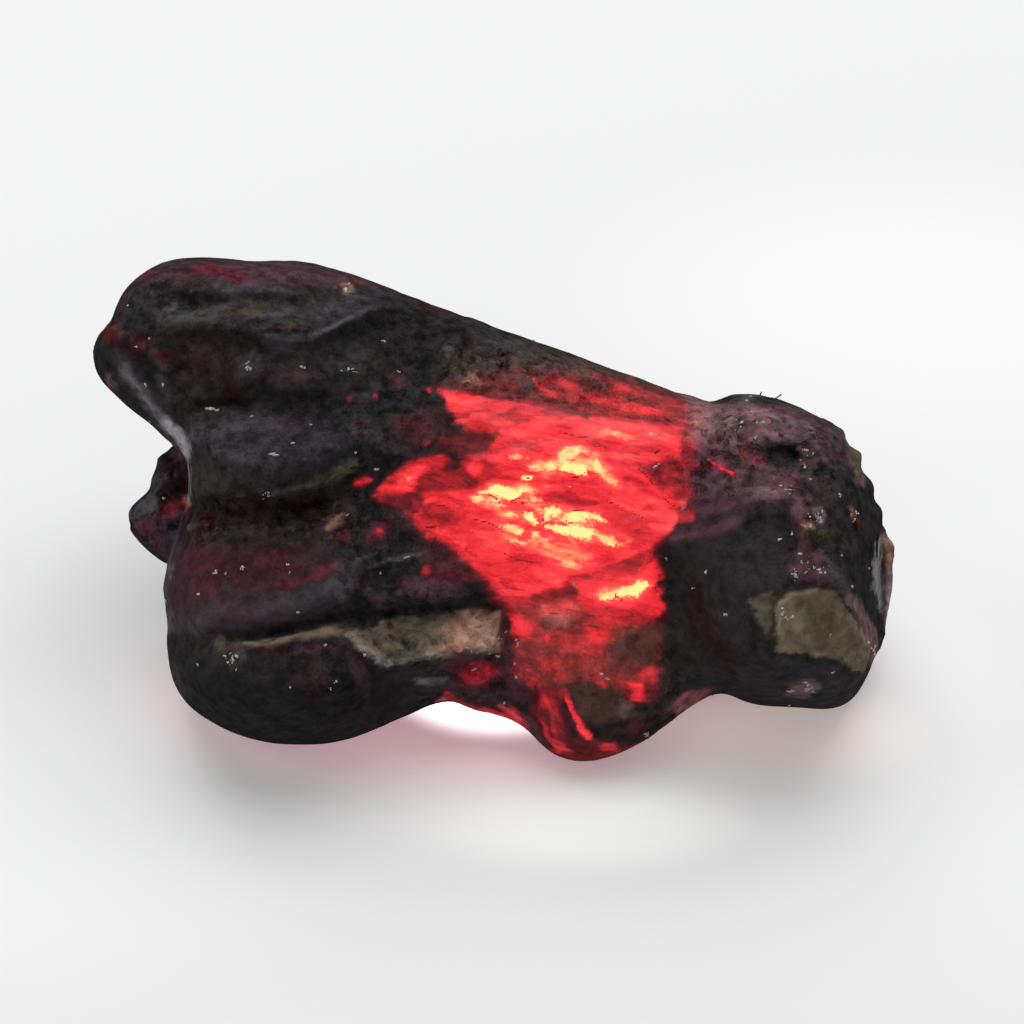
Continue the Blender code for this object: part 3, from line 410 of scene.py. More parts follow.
        ((3.8, 0.0, 4.6, 0.3), 0.1, 0.6),
        ((3.0, 0.7, 3.6, 0.25, 4.2, 0.05), 0.07, 0.62),
        ((4.55, 2.32, 4.7, 2.28), 0.05, 0.76),
        ((3.05, -0.68, 3.5, -0.75, 4.0, -0.8), 0.07, 0.78),
        ((0.5, -0.85, 0.9, -0.9, 1.2, -0.7), 0.06, 0.78),
        ((2.1, -1.45, 2.5, -1.5), 0.07, 0.76),
        ((-2.0, 0.3, -1.6, 0.4, -1.2, 0.3), 0.08, 0.6),
        ((-2.3, -0.1, -2.1, 0.0), 0.06, 0.58),
        ((3.6, -2.75, 3.95, -2.78), 0.06, 0.7),
    ),
    "sparks": (
        # u, v, radius, heat
        (-4.22, 3.3, 0.12, 0.38), (-3.45, 3.38, 0.12, 0.4), (-1.9, 3.58, 0.11, 0.38),
        (-3.35, -0.55, 0.17, 0.3), (-1.95, -1.7, 0.18, 0.46), (-1.0, -4.02, 0.1, 0.42),
        (-0.55, 1.3, 0.26, 0.82), (-1.95, 2.0, 0.12, 0.33), (-1.5, 2.15, 0.1, 0.32),
        (0.65, 4.2, 0.09, 0.34), (3.0, 4.0, 0.14, 0.3), (3.6, 3.7, 0.12, 0.3), (4.1, 4.0, 0.14, 0.28),
        (4.6, 3.5, 0.15, 0.3), (2.6, 3.05, 0.12, 0.4), (7.3, 1.75, 0.15, 0.26), (7.6, 1.5, 0.12, 0.26),
        (-9.75, 0.1, 0.3, 0.2), (-9.4, 0.3, 0.2, 0.26), (-9.95, -0.1, 0.15, 0.22), (3.3, -3.1, 0.15, 0.5),
        (1.6, -3.65, 0.1, 0.48), (4.8, -2.95, 0.12, 0.54), (-5.0, -1.65, 0.1, 0.22),
        (-4.6, -1.55, 0.1, 0.24), (0.2, -1.2, 0.5, 0.56), (-1.2, -0.7, 0.35, 0.56),
        (-0.5, -0.3, 0.3, 0.56), (5.0, 1.0, 0.12, 0.42), (5.35, 1.05, 0.1, 0.4), (4.7, 0.95, 0.1, 0.4),
        (-2.8, 3.8, 0.2, 0.18),
    ),
    # flakes inside, painted as the hottest, yellowest glow: heat, outline
    "flakes": (
        (0.86, (1.05, 1.3, 1.25, 1.45, 1.8, 1.52, 1.9, 1.36, 1.8, 1.22, 1.3, 1.2)),
        (0.87, (1.85, 1.5, 1.9, 1.72, 2.1, 1.86, 2.5, 1.9, 2.45, 1.7, 2.2, 1.52, 2.0, 1.44)),
        (1.0, (1.85, 1.28, 2.0, 1.38, 2.4, 1.42, 2.7, 1.3, 2.68, 1.1, 2.45, 1.08, 2.2, 1.18, 1.95, 1.14)),
        (0.84, (2.88, 1.55, 3.0, 1.5, 3.3, 1.12, 3.65, 0.82, 3.5, 0.78, 3.1, 1.02, 2.95, 1.2)),
        (0.97, (-0.45, 0.55, -0.15, 0.68, 0.1, 0.8, 0.5, 0.68, 0.85, 0.58, 0.75, 0.42, 0.5, 0.33, 0.2, 0.44,
            0.05, 0.52, -0.25, 0.53)),
        (0.85, (-0.6, 0.38, -0.3, 0.46, 0.0, 0.45, 0.1, 0.33, 0.2, 0.19, 0.0, 0.2, -0.3, 0.25,
            -0.58, 0.28)),
        (0.84, (0.95, 0.42, 1.2, 0.44, 1.4, 0.36, 1.3, 0.3, 1.05, 0.33)),
        (1.0, (0.85, 0.02, 1.15, -0.02, 1.2, -0.18, 1.42, -0.33, 1.3, -0.42, 1.0, -0.3, 0.9, -0.15)),
        (1.0, (1.5, 0.1, 1.75, 0.22, 1.95, 0.12, 2.02, -0.02, 1.8, -0.12, 1.62, -0.1, 1.6, -0.3, 1.45, -0.3,
            1.48, -0.05)),
        (1.0, (2.12, -0.06, 2.4, 0.02, 3.0, -0.06, 3.12, -0.13, 3.3, -0.28, 3.12, -0.3, 2.9, -0.2,
            2.4, -0.16)),
        (1.02, (1.42, -0.36, 1.9, -0.34, 2.2, -0.45, 2.4, -0.38, 2.7, -0.5, 2.88, -0.65, 2.75, -0.78,
            2.4, -0.72, 2.1, -0.66, 1.8, -0.56, 1.5, -0.52)),
        (0.88, (0.15, -0.4, 0.5, -0.36, 0.85, -0.5, 0.8, -0.66, 0.5, -0.62)),
        (0.94, (2.05, -0.2, 2.3, -0.22, 2.45, -0.3, 2.2, -0.36)),
        (0.88, (1.1, -0.55, 1.3, -0.58, 1.35, -0.7, 1.15, -0.72)),
        (0.9, (3.0, -0.63, 3.4, -0.72, 3.72, -0.93, 3.4, -0.98, 3.1, -0.85)),
        (0.93, (3.1, -2.52, 3.4, -2.3, 3.7, -2.2, 3.9, -2.13, 3.95, -2.4, 3.6, -2.5, 3.3, -2.57)),
        (1.0, (3.9, -2.13, 4.3, -1.96, 4.52, -2.1, 4.4, -2.32, 4.2, -2.47, 3.9, -2.42, 3.84, -2.25)),
        (0.82, (0.45, 1.65, 0.75, 1.72, 1.0, 1.6, 0.8, 1.5, 0.55, 1.52)),
    ),
    # fine breaks inside, dark against the painted glow: line, half width
    "cracks": (
        ((-0.5, 0.49, -0.1, 0.49, 0.1, 0.4, 0.22, 0.2), 0.035),
        ((0.5, 0.32, 0.78, 0.42, 0.85, 0.22), 0.03),
        ((2.3, 0.04, 2.6, 0.06, 3.0, 0.0), 0.03),
        ((2.05, -0.13, 2.15, -0.32, 2.35, -0.32), 0.03),
        ((1.42, 0.0, 1.43, -0.3), 0.03),
        ((3.5, -2.3, 3.6, -2.45, 3.78, -2.62), 0.035),
        ((3.6, -2.45, 3.42, -2.62), 0.03),
        ((4.35, -2.0, 4.4, -2.15), 0.03),
        ((2.2, 1.03, 2.5, 1.0), 0.03),
        ((-1.75, 0.12, -1.5, 0.2, -1.25, 0.08), 0.035),
        ((-2.0, -0.45, -1.65, -0.42), 0.04),
        ((4.72, 1.72, 4.85, 1.8), 0.05),
        ((4.95, 0.42, 5.2, 0.2, 5.6, 0.06, 5.72, 0.25), 0.035),
        ((4.2, 1.3, 4.5, 1.0, 4.7, 0.75), 0.03),
        ((1.9, 2.35, 2.4, 2.2, 2.9, 2.15), 0.03),
        ((-0.6, -0.2, 0.0, -0.35, 0.3, -0.6), 0.03),
        ((0.3, -1.2, 0.7, -1.4, 1.4, -1.5), 0.03),
        ((3.2, 0.35, 3.9, 0.1, 4.4, -0.2), 0.03),
        ((3.15, -5.25, 3.5, -5.25), 0.07),
        ((1.65, -2.95, 1.9, -2.98), 0.05),
    ),
}

# Colours of the skin, and where each lies. Later rows lie over earlier ones.
skinPaint = {
    "turnRounds": 6,
    "facing": (-0.3, 0.08),
    "bulgeRounds": 8,
    "bulgeHeight": 0.03,
    "bulgeShare": (0.15, 0.1, 0.5),  # share on smooth skin, and the roughness from where to where it grows
    # size, height, octaves, seed
    "warpU": ((0.5, 0.3, 0.3), 0.15, 5, 31.0),
    "warpV": ((0.6, 0.25, 0.3), 0.09, 4, 57.0),
    "flakeWarp": 0.35,
    "clearHeat": (0.2, 0.5),
    "coolHeat": (0.08, 0.3),
    "clearDarkening": 0.55,
    "lineReach": 2.2,
    "mottling": (0.5, 0.9),  # strength of the small and the crumbly noise in each area and line
    "noises": {
        # size, height, octaves, seed
        "broad": ((2.4, 1.3, 1.3), 1, 4, 71.0),
        "small": ((0.8, 0.35, 0.4), 1, 4, 83.0),
        "crumbly": ((0.3, 0.2, 0.2), 1, 2, 91.0),
        "veins": ((3.2, 0.5, 0.6), 1, 3, 17.0),
        "clouds": ((3.0, 1.6, 1.6), 1, 4, 37.0),
        "islands": ((1.8, 1.0, 1.0), 1, 4, 51.0),
    },
    # colour, what it follows, from, to, strength, where
    "underAreas": (
        ("maroon", "mottles", 0.25, 0.9, 0.6, "everywhere"),
        ("moss", "gaps", 0.35, 1.0, 0.5, "everywhere"),
        ("rose", "veins", 0.45, 0.9, 0.55, "hidden"),
        ("plum", "clouds", 0.15, 0.8, 0.55, "hidden"),
        ("olive", "islands", 0.75, 0.95, 0.7, "hidden"),
    ),
    # painted sheen on ridges, painted shade in hollows, pale crumbs and dark gaps between them
    "overAreas": (
        ("paintedSheen", "ridges", 0.25, 1.2, 0.35, "cool"),
        ("black", "hollows", 0.3, 1.4, 0.3, "everywhere"),
        ("pearl", "crumbs", 0.42, 0.62, 0.3, "cool"),
        ("black", "crumbGaps", 0.3, 0.6, 0.25, "everywhere"),
    ),
    # pale dust with painted sheen on ridges and on tops of the skin
    "dust": {"least": 0.10, "ridges": (0.45, 0.1, 1.2), "tops": (0.22, 0.35, 0.95), "smoothShare": 0.35},
    "colours": {
        "dark": (0.0205, 0.0193, 0.0194),
        # painted sheen
        "paintedSheen": (0.088, 0.076, 0.088),
        # pale crumbs, and painted highlights on rims and ridges
        "pearl": (0.17, 0.155, 0.165),
        # painted bluish sheen
        "blue": (0.038, 0.036, 0.048),
        "rose": (0.105, 0.016, 0.026),
        "maroon": (0.030, 0.0035, 0.008),
        "plum": (0.080, 0.035, 0.047),
        "crimson": (0.25, 0.022, 0.060),
        "mauve": (0.215, 0.116, 0.122),
        # painted highlight
        "paintedHighlight": (0.36, 0.32, 0.35),
        # painted light from below through thin edges
        "blush": (0.46, 0.12, 0.16),
        "slate": (0.0325, 0.0300, 0.0306),
        "clay": (0.130, 0.064, 0.048),
        "umber": (0.044, 0.020, 0.017),
        "olive": (0.190, 0.150, 0.100),
        "tan": (0.66, 0.34, 0.24),
        "brown": (0.085, 0.045, 0.037),
        "sand": (0.30, 0.200, 0.140),
        "moss": (0.044, 0.036, 0.023),
        "brick": (0.11, 0.022, 0.016),
        "crumb": (0.30, 0.25, 0.19),
        # the stone's own black, also laid as painted shade in creases, pits, hollows and under overhangs
        "black": (0.0105, 0.0099, 0.0098),
    },
    # colour, outline, softness, strength
    "areas": (
        # head
        ("plum", (-11.3, 6.0, -10.2, 7.4, -7.0, 7.6, -4.0, 7.3, -3.4, 6.7, -5.0, 6.6, -7.0, 6.7, -10.2, 6.9,
            -10.8, 6.0), 0.35, 0.5),
        ("rose", (-10.6, 6.95, -10.2, 7.15, -10.0, 7.0, -10.3, 6.85), 0.14, 0.6),
        ("rose", (-8.95, 7.15, -8.6, 7.4, -8.2, 7.3, -7.5, 7.1, -6.9, 6.75, -7.6, 6.75,
            -8.2, 7.0), 0.14, 0.75),
        ("plum", (-7.2, 7.1, -6.0, 7.2, -4.8, 7.0, -5.4, 6.7, -7.0, 6.7), 0.25, 0.5),
        ("paintedSheen", (-8.5, 6.65, -7.6, 6.75, -6.6, 6.7, -5.9, 6.4, -7.0, 6.45, -8.2, 6.3), 0.16, 0.5),
        ("paintedSheen", (-10.0, 5.85, -9.3, 5.7, -8.6, 5.9, -7.8, 6.05, -8.3, 5.6, -9.2, 5.4,
            -9.9, 5.5), 0.16, 0.45),
        # painted shade in the notch
        ("black", (-9.3, 6.5, -8.8, 6.6, -8.5, 6.3, -8.9, 5.95, -9.25, 6.1), 0.15, 0.55),
        ("black", (-10.8, 6.8, -9.6, 6.9, -9.4, 6.4, -10.3, 6.2, -10.9, 6.3), 0.25, 0.4),
        ("moss", (-7.95, 5.85, -7.3, 6.15, -6.7, 6.0, -6.8, 5.7, -7.6, 5.65), 0.15, 0.9),
        ("brown", (-7.6, 5.9, -7.2, 6.0, -6.95, 5.85, -7.3, 5.75), 0.1, 0.4),
        ("moss", (-9.9, 5.55, -9.3, 5.6, -9.0, 5.4, -9.6, 5.3), 0.12, 0.45),
        ("moss", (-6.15, 5.55, -5.8, 5.65, -5.75, 5.4, -6.05, 5.25), 0.1, 0.9),
        ("blue", (-5.2, 5.7, -4.4, 6.4, -3.4, 6.5, -3.3, 6.0, -3.9, 5.85, -4.8, 5.4), 0.3, 0.35),
        ("paintedSheen", (-6.9, 5.8, -6.0, 6.1, -5.6, 5.8, -6.6, 5.55), 0.2, 0.3),
        ("paintedSheen", (-5.4, 5.5, -4.6, 5.9, -3.5, 6.4, -4.4, 6.6, -5.4, 6.2), 0.3, 0.25),
        ("tan", (-4.5, 6.75, -4.2, 6.75, -4.2, 6.5, -4.45, 6.45), 0.1, 0.4),
        ("rose", (-4.7, 6.95, -4.0, 7.0, -3.9, 6.75, -4.6, 6.7), 0.12, 0.4),
        ("umber", (-9.9, 5.2, -8.0, 5.3, -6.4, 4.9, -7.4, 3.4, -9.4, 3.9), 0.4, 0.35),
        ("maroon", (-9.6, 4.7, -8.8, 4.5, -8.9, 4.1, -9.6, 4.2), 0.2, 0.6),
        ("maroon", (-8.1, 4.0, -7.4, 3.7, -7.1, 3.2, -7.6, 3.1, -8.0, 3.4), 0.2, 0.7),
        # painted shade in the crease above the shoulder
        ("black", (-8.8, 3.3, -7.9, 3.5, -7.0, 3.2, -7.1, 2.95, -8.8, 2.95), 0.14, 0.6),
        ("black", (-4.0, 5.2, -3.2, 5.9, -2.4, 6.1, -0.9, 5.5, -1.3, 4.3, -3.2, 4.5), 0.4, 0.7),
        ("paintedSheen", (-7.4, 4.5, -7.0, 4.65, -6.75, 4.3, -6.9, 3.95, -7.35, 4.0), 0.15, 0.55),
        ("plum", (-7.3, 4.4, -7.0, 4.5, -6.8, 4.2, -7.2, 4.0), 0.1, 0.5),
        ("paintedSheen", (-6.7, 5.0, -6.0, 5.0, -5.8, 4.7, -6.5, 4.6), 0.15, 0.4),
        ("moss", (-6.1, 4.65, -5.75, 4.7, -5.6, 4.4, -6.0, 4.3), 0.12, 0.6),
        ("moss", (-4.7, 4.35, -4.2, 4.4, -3.8, 4.2, -3.95, 3.9, -4.5, 4.05), 0.14, 0.7),
        ("plum", (-6.6, 4.2, -5.6, 4.3, -5.0, 3.8, -6.0, 3.4, -6.9, 3.6), 0.3, 0.4),
        ("paintedSheen", (-4.9, 3.7, -3.8, 3.9, -3.0, 3.6, -3.8, 3.3, -4.8, 3.3), 0.25, 0.2),
        ("paintedSheen", (-6.6, 5.0, -4.9, 5.2, -3.6, 4.9, -3.8, 4.3, -5.4, 4.4), 0.35, 0.16),
        ("rose", (-11.5, 5.6, -11.1, 5.5, -10.9, 5.2, -11.3, 5.0, -11.5, 5.2), 0.14, 0.75),
        ("rose", (-10.8, 5.2, -10.3, 5.1, -10.1, 4.8, -10.5, 4.7), 0.16, 0.45),
        ("rose", (-10.0, 4.8, -9.7, 4.7, -9.5, 4.2, -9.8, 4.2), 0.14, 0.4),
        ("paintedSheen", (-11.2, 4.7, -10.7, 4.5, -9.9, 3.4, -9.2, 2.3, -9.2, 1.8, -9.7, 2.0, -10.3, 3.0,
            -11.0, 4.0), 0.2, 0.45),
        ("paintedSheen", (-9.9, 4.0, -9.6, 3.9, -9.45, 3.2, -9.7, 3.2), 0.12, 0.4),
        ("tan", (-11.6, 4.0, -11.4, 4.05, -11.25, 3.8, -11.4, 3.65), 0.08, 0.25),
        ("plum", (-11.6, 4.1, -11.3, 4.1, -11.2, 3.7, -11.4, 3.6), 0.1, 0.7),
        # shoulder
        # painted bluish sheen and highlights on the shoulder's top
        ("blue", (-9.0, 2.3, -7.8, 2.95, -6.0, 2.95, -4.8, 2.4, -4.1, 1.7, -4.7, 1.2, -6.2, 1.3, -7.5, 1.45,
            -9.0, 1.9), 0.4, 0.5),
        ("paintedSheen", (-9.0, 2.4, -8.2, 2.6, -7.0, 2.8, -6.0, 2.9, -6.2, 2.5, -7.6, 2.3, -8.4, 2.1,
            -9.0, 2.0), 0.2, 0.4),
        ("paintedSheen", (-8.3, 1.95, -7.8, 1.7, -7.2, 1.7, -7.1, 1.4, -7.6, 1.35, -8.2, 1.65), 0.15, 0.4),
        ("dark", (-6.3, 2.0, -5.2, 2.1, -4.4, 1.7, -4.8, 1.2, -6.2, 1.25), 0.25, 0.45),
        ("slate", (-9.0, 1.7, -7.4, 1.3, -5.0, 1.2, -6.6, 0.6, -9.0, 0.5), 0.25, 0.8),
        ("moss", (-9.0, 1.4, -7.4, 1.2, -6.6, 0.9, -7.6, 0.5, -9.0, 0.5), 0.25, 0.2),
        ("plum", (-4.2, 2.6, -3.8, 2.7, -3.6, 2.3, -4.0, 2.1), 0.15, 0.7),
        ("moss", (-3.2, 2.8, -2.7, 2.9, -2.6, 2.4, -3.1, 2.3), 0.2, 0.6),
        ("plum", (-3.1, 4.0, -2.6, 4.1, -2.5, 3.7, -2.9, 3.6), 0.15, 0.7),
        ("rose", (-2.9, 2.6, -2.2, 2.9, -1.6, 2.4, -2.4, 2.0), 0.3, 0.4),
        # recess
        ("umber", (-9.0, 0.4, -4.3, 0.5, -3.9, -0.3, -5.0, -0.9, -9.0, -0.9), 0.3, 0.5),
        ("black", (-9.05, 0.4, -8.1, 0.45, -7.9, 0.0, -8.3, -0.25, -9.05, -0.2), 0.12, 0.4),
        ("maroon", (-6.9, 0.4, -6.6, 0.35, -6.6, 0.05, -6.95, 0.05), 0.1, 0.9),
        ("maroon", (-6.2, 0.3, -5.4, 0.35, -4.9, 0.2, -5.2, -0.05, -6.2, -0.2), 0.15, 0.9),
        ("maroon", (-8.6, -0.1, -8.1, -0.1, -8.05, -0.6, -8.6, -0.65), 0.15, 0.9),
        ("rose", (-6.4, 0.1, -6.0, 0.1, -5.9, -0.15, -6.3, -0.15), 0.1, 0.3),
        ("moss", (-7.6, -0.1, -6.4, -0.1, -5.6, -0.5, -5.2, -0.9, -7.4, -0.9), 0.3, 0.4),
        ("brown", (-6.0, 0.65, -5.4, 0.6, -5.6, 0.4, -6.1, 0.4), 0.12, 0.5),
        ("tan", (-4.95, -0.2, -4.6, -0.1, -4.4, -0.25, -4.8, -0.5), 0.08, 0.5),
        ("rose", (-4.6, -0.45, -4.2, -0.35, -4.1, -0.9, -4.6, -0.9), 0.18, 0.5),
        ("crimson", (-3.6, -0.4, -3.1, -0.3, -3.1, -0.8, -3.6, -0.9), 0.2, 0.4),
        ("paintedSheen", (-4.4, 0.2, -4.0, 0.2, -4.0, -0.1, -4.3, -0.1), 0.12, 0.5),
        ("plum", (-3.2, 0.1, -2.2, 0.3, -1.9, -0.6, -2.8, -0.7), 0.25, 0.5),
        # nub
        ("maroon", (-10.3, 1.3, -9.7, 1.8, -9.2, 1.8, -9.2, 0.3, -10.2, 0.3), 0.15, 0.6),
        ("plum", (-9.85, 1.8, -9.6, 1.95, -9.35, 1.75, -9.5, 1.5, -9.8, 1.55), 0.1, 0.7),
        ("rose", (-9.8, 1.75, -9.6, 1.85, -9.5, 1.6, -9.7, 1.55), 0.08, 0.4),
        ("paintedSheen", (-10.4, 1.1, -10.0, 1.3, -9.9, 0.9, -10.2, 0.5, -10.5, 0.5), 0.1, 0.4),
        ("rose", (-10.3, 0.25, -9.95, 0.3, -9.55, 0.2, -9.35, 0.5, -9.1, 0.5, -9.1, -0.05, -9.6, -0.2,
            -10.0, -0.2), 0.08, 0.95),
        ("tan", (-9.5, 0.45, -9.2, 0.5, -9.2, 0.15, -9.45, 0.15), 0.08, 0.4),
        ("paintedSheen", (-10.95, 0.1, -10.45, 0.6, -10.2, 0.4, -10.2, 0.05, -10.6, -0.1, -11.0, -0.25), 0.06, 0.9),
        ("plum", (-11.0, -0.3, -10.3, -0.1, -9.9, -0.25, -9.8, -0.7, -9.95, -1.4, -10.4, -1.1), 0.1, 0.7),
        ("rose", (-10.8, -0.25, -10.5, -0.2, -10.4, -0.5, -10.7, -0.55), 0.12, 0.4),
        ("black", (-9.95, -0.2, -9.7, -0.2, -9.75, -1.4, -9.95, -1.4), 0.08, 0.7),
        # shelf
        ("plum", (-9.7, -1.0, -5.0, -0.95, -4.4, -1.5, -4.4, -2.6, -5.6, -3.2, -7.2, -3.5,
            -9.6, -3.6), 0.3, 0.45),
        ("maroon", (-9.2, -1.0, -5.6, -0.95, -5.4, -1.9, -8.9, -2.2), 0.3, 0.3),
        ("slate", (-6.0, -2.4, -4.9, -1.9, -4.2, -1.5, -3.9, -2.2, -4.8, -3.0, -6.0, -3.1), 0.25, 0.6),
        ("rose", (-9.2, -1.05, -5.8, -1.0, -5.3, -1.9, -8.9, -2.3), 0.3, 0.14),
        ("rose", (-9.0, -1.25, -8.2, -1.1, -7.9, -1.4, -8.3, -1.7, -9.0, -1.6), 0.2, 0.4),
        ("rose", (-7.0, -1.3, -6.5, -1.15, -5.9, -1.3, -6.2, -1.6, -6.9, -1.55), 0.18, 0.5),
        ("rose", (-8.65, -2.1, -8.0, -1.95, -8.1, -2.35, -8.6, -2.4), 0.14, 0.5),
        ("crimson", (-6.3, -2.05, -5.6, -1.95, -5.0, -1.65, -4.4, -1.45, -4.5, -1.62, -5.2, -1.95,
            -6.0, -2.2), 0.07, 0.5),
        ("paintedSheen", (-9.4, -3.1, -7.4, -2.7, -5.6, -2.4, -4.9, -1.9, -4.2, -1.4, -3.7, -1.2, -4.2, -2.4,
            -5.2, -3.1, -7.2, -3.5, -9.4, -3.6), 0.25, 0.32),
        ("dark", (-3.9, -1.9, -3.2, -1.8, -2.9, -2.6, -3.2, -3.0, -4.2, -2.9), 0.25, 0.6),
        ("moss", (-3.8, -2.1, -3.55, -2.1, -3.5, -2.5, -3.75, -2.5), 0.12, 0.6),
        ("plum", (-3.6, -2.5, -3.2, -2.3, -3.0, -2.7, -3.4, -2.9), 0.12, 0.5),
        ("plum", (-2.9, -1.95, -1.7, -1.85, -0.9, -2.1, -0.7, -2.45, -1.8, -2.55, -2.8, -2.4), 0.12, 0.9),
        ("rose", (-2.1, -1.6, -1.2, -1.2, -0.4, -1.9, -0.9, -2.2, -1.9, -2.0), 0.15, 0.5),
        # scoop and foot
        ("dark", (-9.9, -3.8, -7.0, -3.9, -5.6, -3.7, -4.4, -3.6, -3.2, -4.5, -2.0, -5.0, -2.6, -6.4,
            -6, -7.2, -9.0, -6.4), 0.3, 0.9),
        ("black", (-6.4, -4.1, -5.4, -3.8, -4.6, -3.68, -4.0, -3.95, -3.55, -4.5, -3.5, -5.2, -4.0, -5.8,
            -4.9, -6.0, -5.6, -5.7, -5.9, -4.9), 0.07, 0.6),
        ("plum", (-6.0, -4.05, -5.3, -3.75, -4.6, -3.66, -4.0, -3.92, -3.6, -4.45, -3.5, -5.1, -3.85, -5.6,
            -3.9, -5.0, -4.2, -4.4, -4.8, -4.1), 0.08, 0.38),
        ("umber", (-5.7, -4.25, -4.95, -4.15, -4.75, -4.7, -4.95, -5.4, -5.5, -5.2,
            -5.75, -4.8), 0.25, 0.55),
        ("maroon", (-6.9, -3.88, -6.0, -3.8, -5.7, -3.95, -6.0, -4.1, -6.8, -4.0), 0.07, 0.7),
        ("olive", (-8.15, -3.8, -7.95, -3.55, -7.7, -3.7, -7.75, -4.0, -8.1, -4.0), 0.1, 0.5),
        ("black", (-7.85, -4.0, -7.6, -4.0, -7.6, -4.2, -7.8, -4.2), 0.07, 0.8),
        ("moss", (-8.0, -4.1, -7.6, -4.2, -7.1, -4.0, -7.2, -4.3, -7.6, -4.6), 0.12, 0.7),
        ("paintedSheen", (-7.4, -4.0, -7.15, -3.95, -7.15, -4.25, -7.35, -4.25), 0.08, 0.6),
        ("paintedSheen", (-9.8, -4.4, -9.3, -4.6, -9.0, -5.4, -9.3, -5.6, -9.8, -5.0), 0.25, 0.25),
        # bench
        # the bench's flat face: its own olive, sand and tan, painted lighter as a reflection of the room
        ("olive", (-4.3, -3.42, -3.6, -3.42, -3.1, -3.12, -2.6, -3.05, -1.3, -2.93, 0.12, -2.88, 0.22, -3.4,
            0.1, -4.1, -0.6, -4.02, -1.2, -4.12, -2.2, -4.25, -3.1, -4.4, -3.5, -3.95), 0.07, 0.72),
        ("moss", (-3.1, -3.15, -2.35, -3.1, -2.3, -3.5, -2.6, -3.95, -3.0, -3.8), 0.14, 0.35),
        ("brown", (-2.2, -3.1, -1.4, -3.0, -1.5, -3.5, -2.0, -3.7), 0.2, 0.35),
        ("sand", (-2.0, -3.6, -1.4, -3.0, 0.12, -2.88, 0.22, -3.4, 0.1, -4.1, -0.6, -4.02, -1.2, -4.12,
            -2.1, -4.25), 0.2, 0.7),
        ("tan", (-1.4, -3.3, -0.9, -3.0, 0.1, -2.95, 0.15, -4.0, -0.8, -3.95, -1.5, -4.1), 0.25, 0.8),
        ("brown", (-1.5, -3.1, -1.0, -3.0, -0.7, -3.3, -1.2, -3.5), 0.12, 0.4),
        ("brown", (-0.6, -3.5, -0.3, -3.45, -0.35, -3.7, -0.65, -3.75), 0.1, 0.4),
        ("moss", (-1.9, -3.6, -1.5, -3.5, -1.4, -3.8, -1.8, -3.9), 0.12, 0.4),
        ("black", (-2.66, -3.7, -2.55, -4.0, -2.25, -3.95, -2.4, -3.75), 0.06, 0.8),
        ("crumb", (-0.4, -3.2, 0.1, -3.1, 0.12, -3.9, -0.3, -3.95), 0.12, 0.4),
        # under the bench
        ("plum", (-1.7, -4.3, -0.8, -4.1, 0.6, -4.2, 0.7, -5.3, -0.2, -5.95, -1.4, -5.3), 0.2, 0.55),
        ("rose", (-1.3, -4.5, -0.6, -4.3, 0.2, -4.35, 0.1, -4.95, -0.6, -5.15, -1.2, -4.95), 0.2, 0.6),
        ("slate", (-3.0, -4.6, -1.6, -4.4, -1.2, -5.2, -2.6, -5.9), 0.2, 0.6),
        ("paintedHighlight", (-2.3, -4.92, -1.4, -4.87, -1.4, -5.02, -2.2, -5.08), 0.08, 0.4),
        ("rose", (-1.45, -5.2, -1.1, -5.6, -0.3, -5.9, 0.3, -5.95, 0.3, -6.3, -0.9, -6.1,
            -1.6, -5.6), 0.1, 0.8),
        # apron
        ("clay", (0.5, -2.6, 2.6, -2.6, 4.9, -3.4, 4.9, -4.9, 2.8, -5.0, 0.7, -5.1), 0.3, 0.85),
        ("brown", (0.2, -3.0, 0.5, -3.0, 0.6, -3.8, 0.7, -4.6, 0.4, -4.6, 0.2, -4.0), 0.1, 0.9),
        ("plum", (0.3, -4.2, 1.0, -4.2, 1.0, -5.6, 0.4, -5.6), 0.15, 0.7),
        ("tan", (1.4, -2.65, 2.3, -2.6, 2.5, -3.1, 1.9, -3.3, 1.4, -3.1), 0.15, 0.5),
        ("brown", (0.6, -4.1, 2.0, -3.9, 2.9, -4.9, 1.0, -5.1), 0.3, 0.35),
        ("brown", (3.2, -3.9, 4.9, -3.6, 4.9, -5.0, 3.4, -5.0), 0.25, 0.6),
        ("black", (4.0, -4.55, 4.3, -4.5, 4.3, -4.75, 4.0, -4.75), 0.08, 0.7),
        # toe
        ("moss", (0.9, -5.1, 1.15, -5.1, 1.15, -5.35, 0.9, -5.35), 0.1, 0.6),
        ("rose", (1.3, -5.2, 2.0, -5.15, 2.2, -5.6, 2.2, -6.6, 2.6, -7.2, 1.8, -7.2,
            1.3, -6.2), 0.12, 0.55),
        ("brown", (2.2, -5.1, 3.4, -5.1, 4.0, -5.4, 4.0, -6.0, 3.0, -6.3, 2.6, -5.9), 0.15, 0.75),
        ("clay", (2.4, -5.15, 3.4, -5.1, 3.9, -5.4, 3.9, -5.9, 3.0, -6.2, 2.6, -5.9), 0.2, 0.6),
        ("moss", (2.6, -5.2, 3.5, -5.3, 3.6, -5.9, 2.9, -6.1), 0.25, 0.3),
        ("mauve", (3.7, -5.65, 4.05, -5.6, 4.2, -5.95, 3.8, -6.1), 0.1, 0.7),
        ("brown", (3.9, -5.9, 4.5, -5.9, 4.5, -6.3, 4.0, -6.3), 0.14, 0.6),
        ("rose", (3.6, -6.4, 4.3, -6.2, 4.6, -6.4, 4.2, -6.7), 0.14, 0.5),
        ("brown", (4.9, -4.6, 5.6, -4.7, 5.5, -5.5, 5.0, -6.2, 4.6, -6.0), 0.2, 0.35),
        ("black", (2.3, -6.85, 3.0, -6.8, 3.1, -7.1, 2.4, -7.15), 0.08, 0.6),
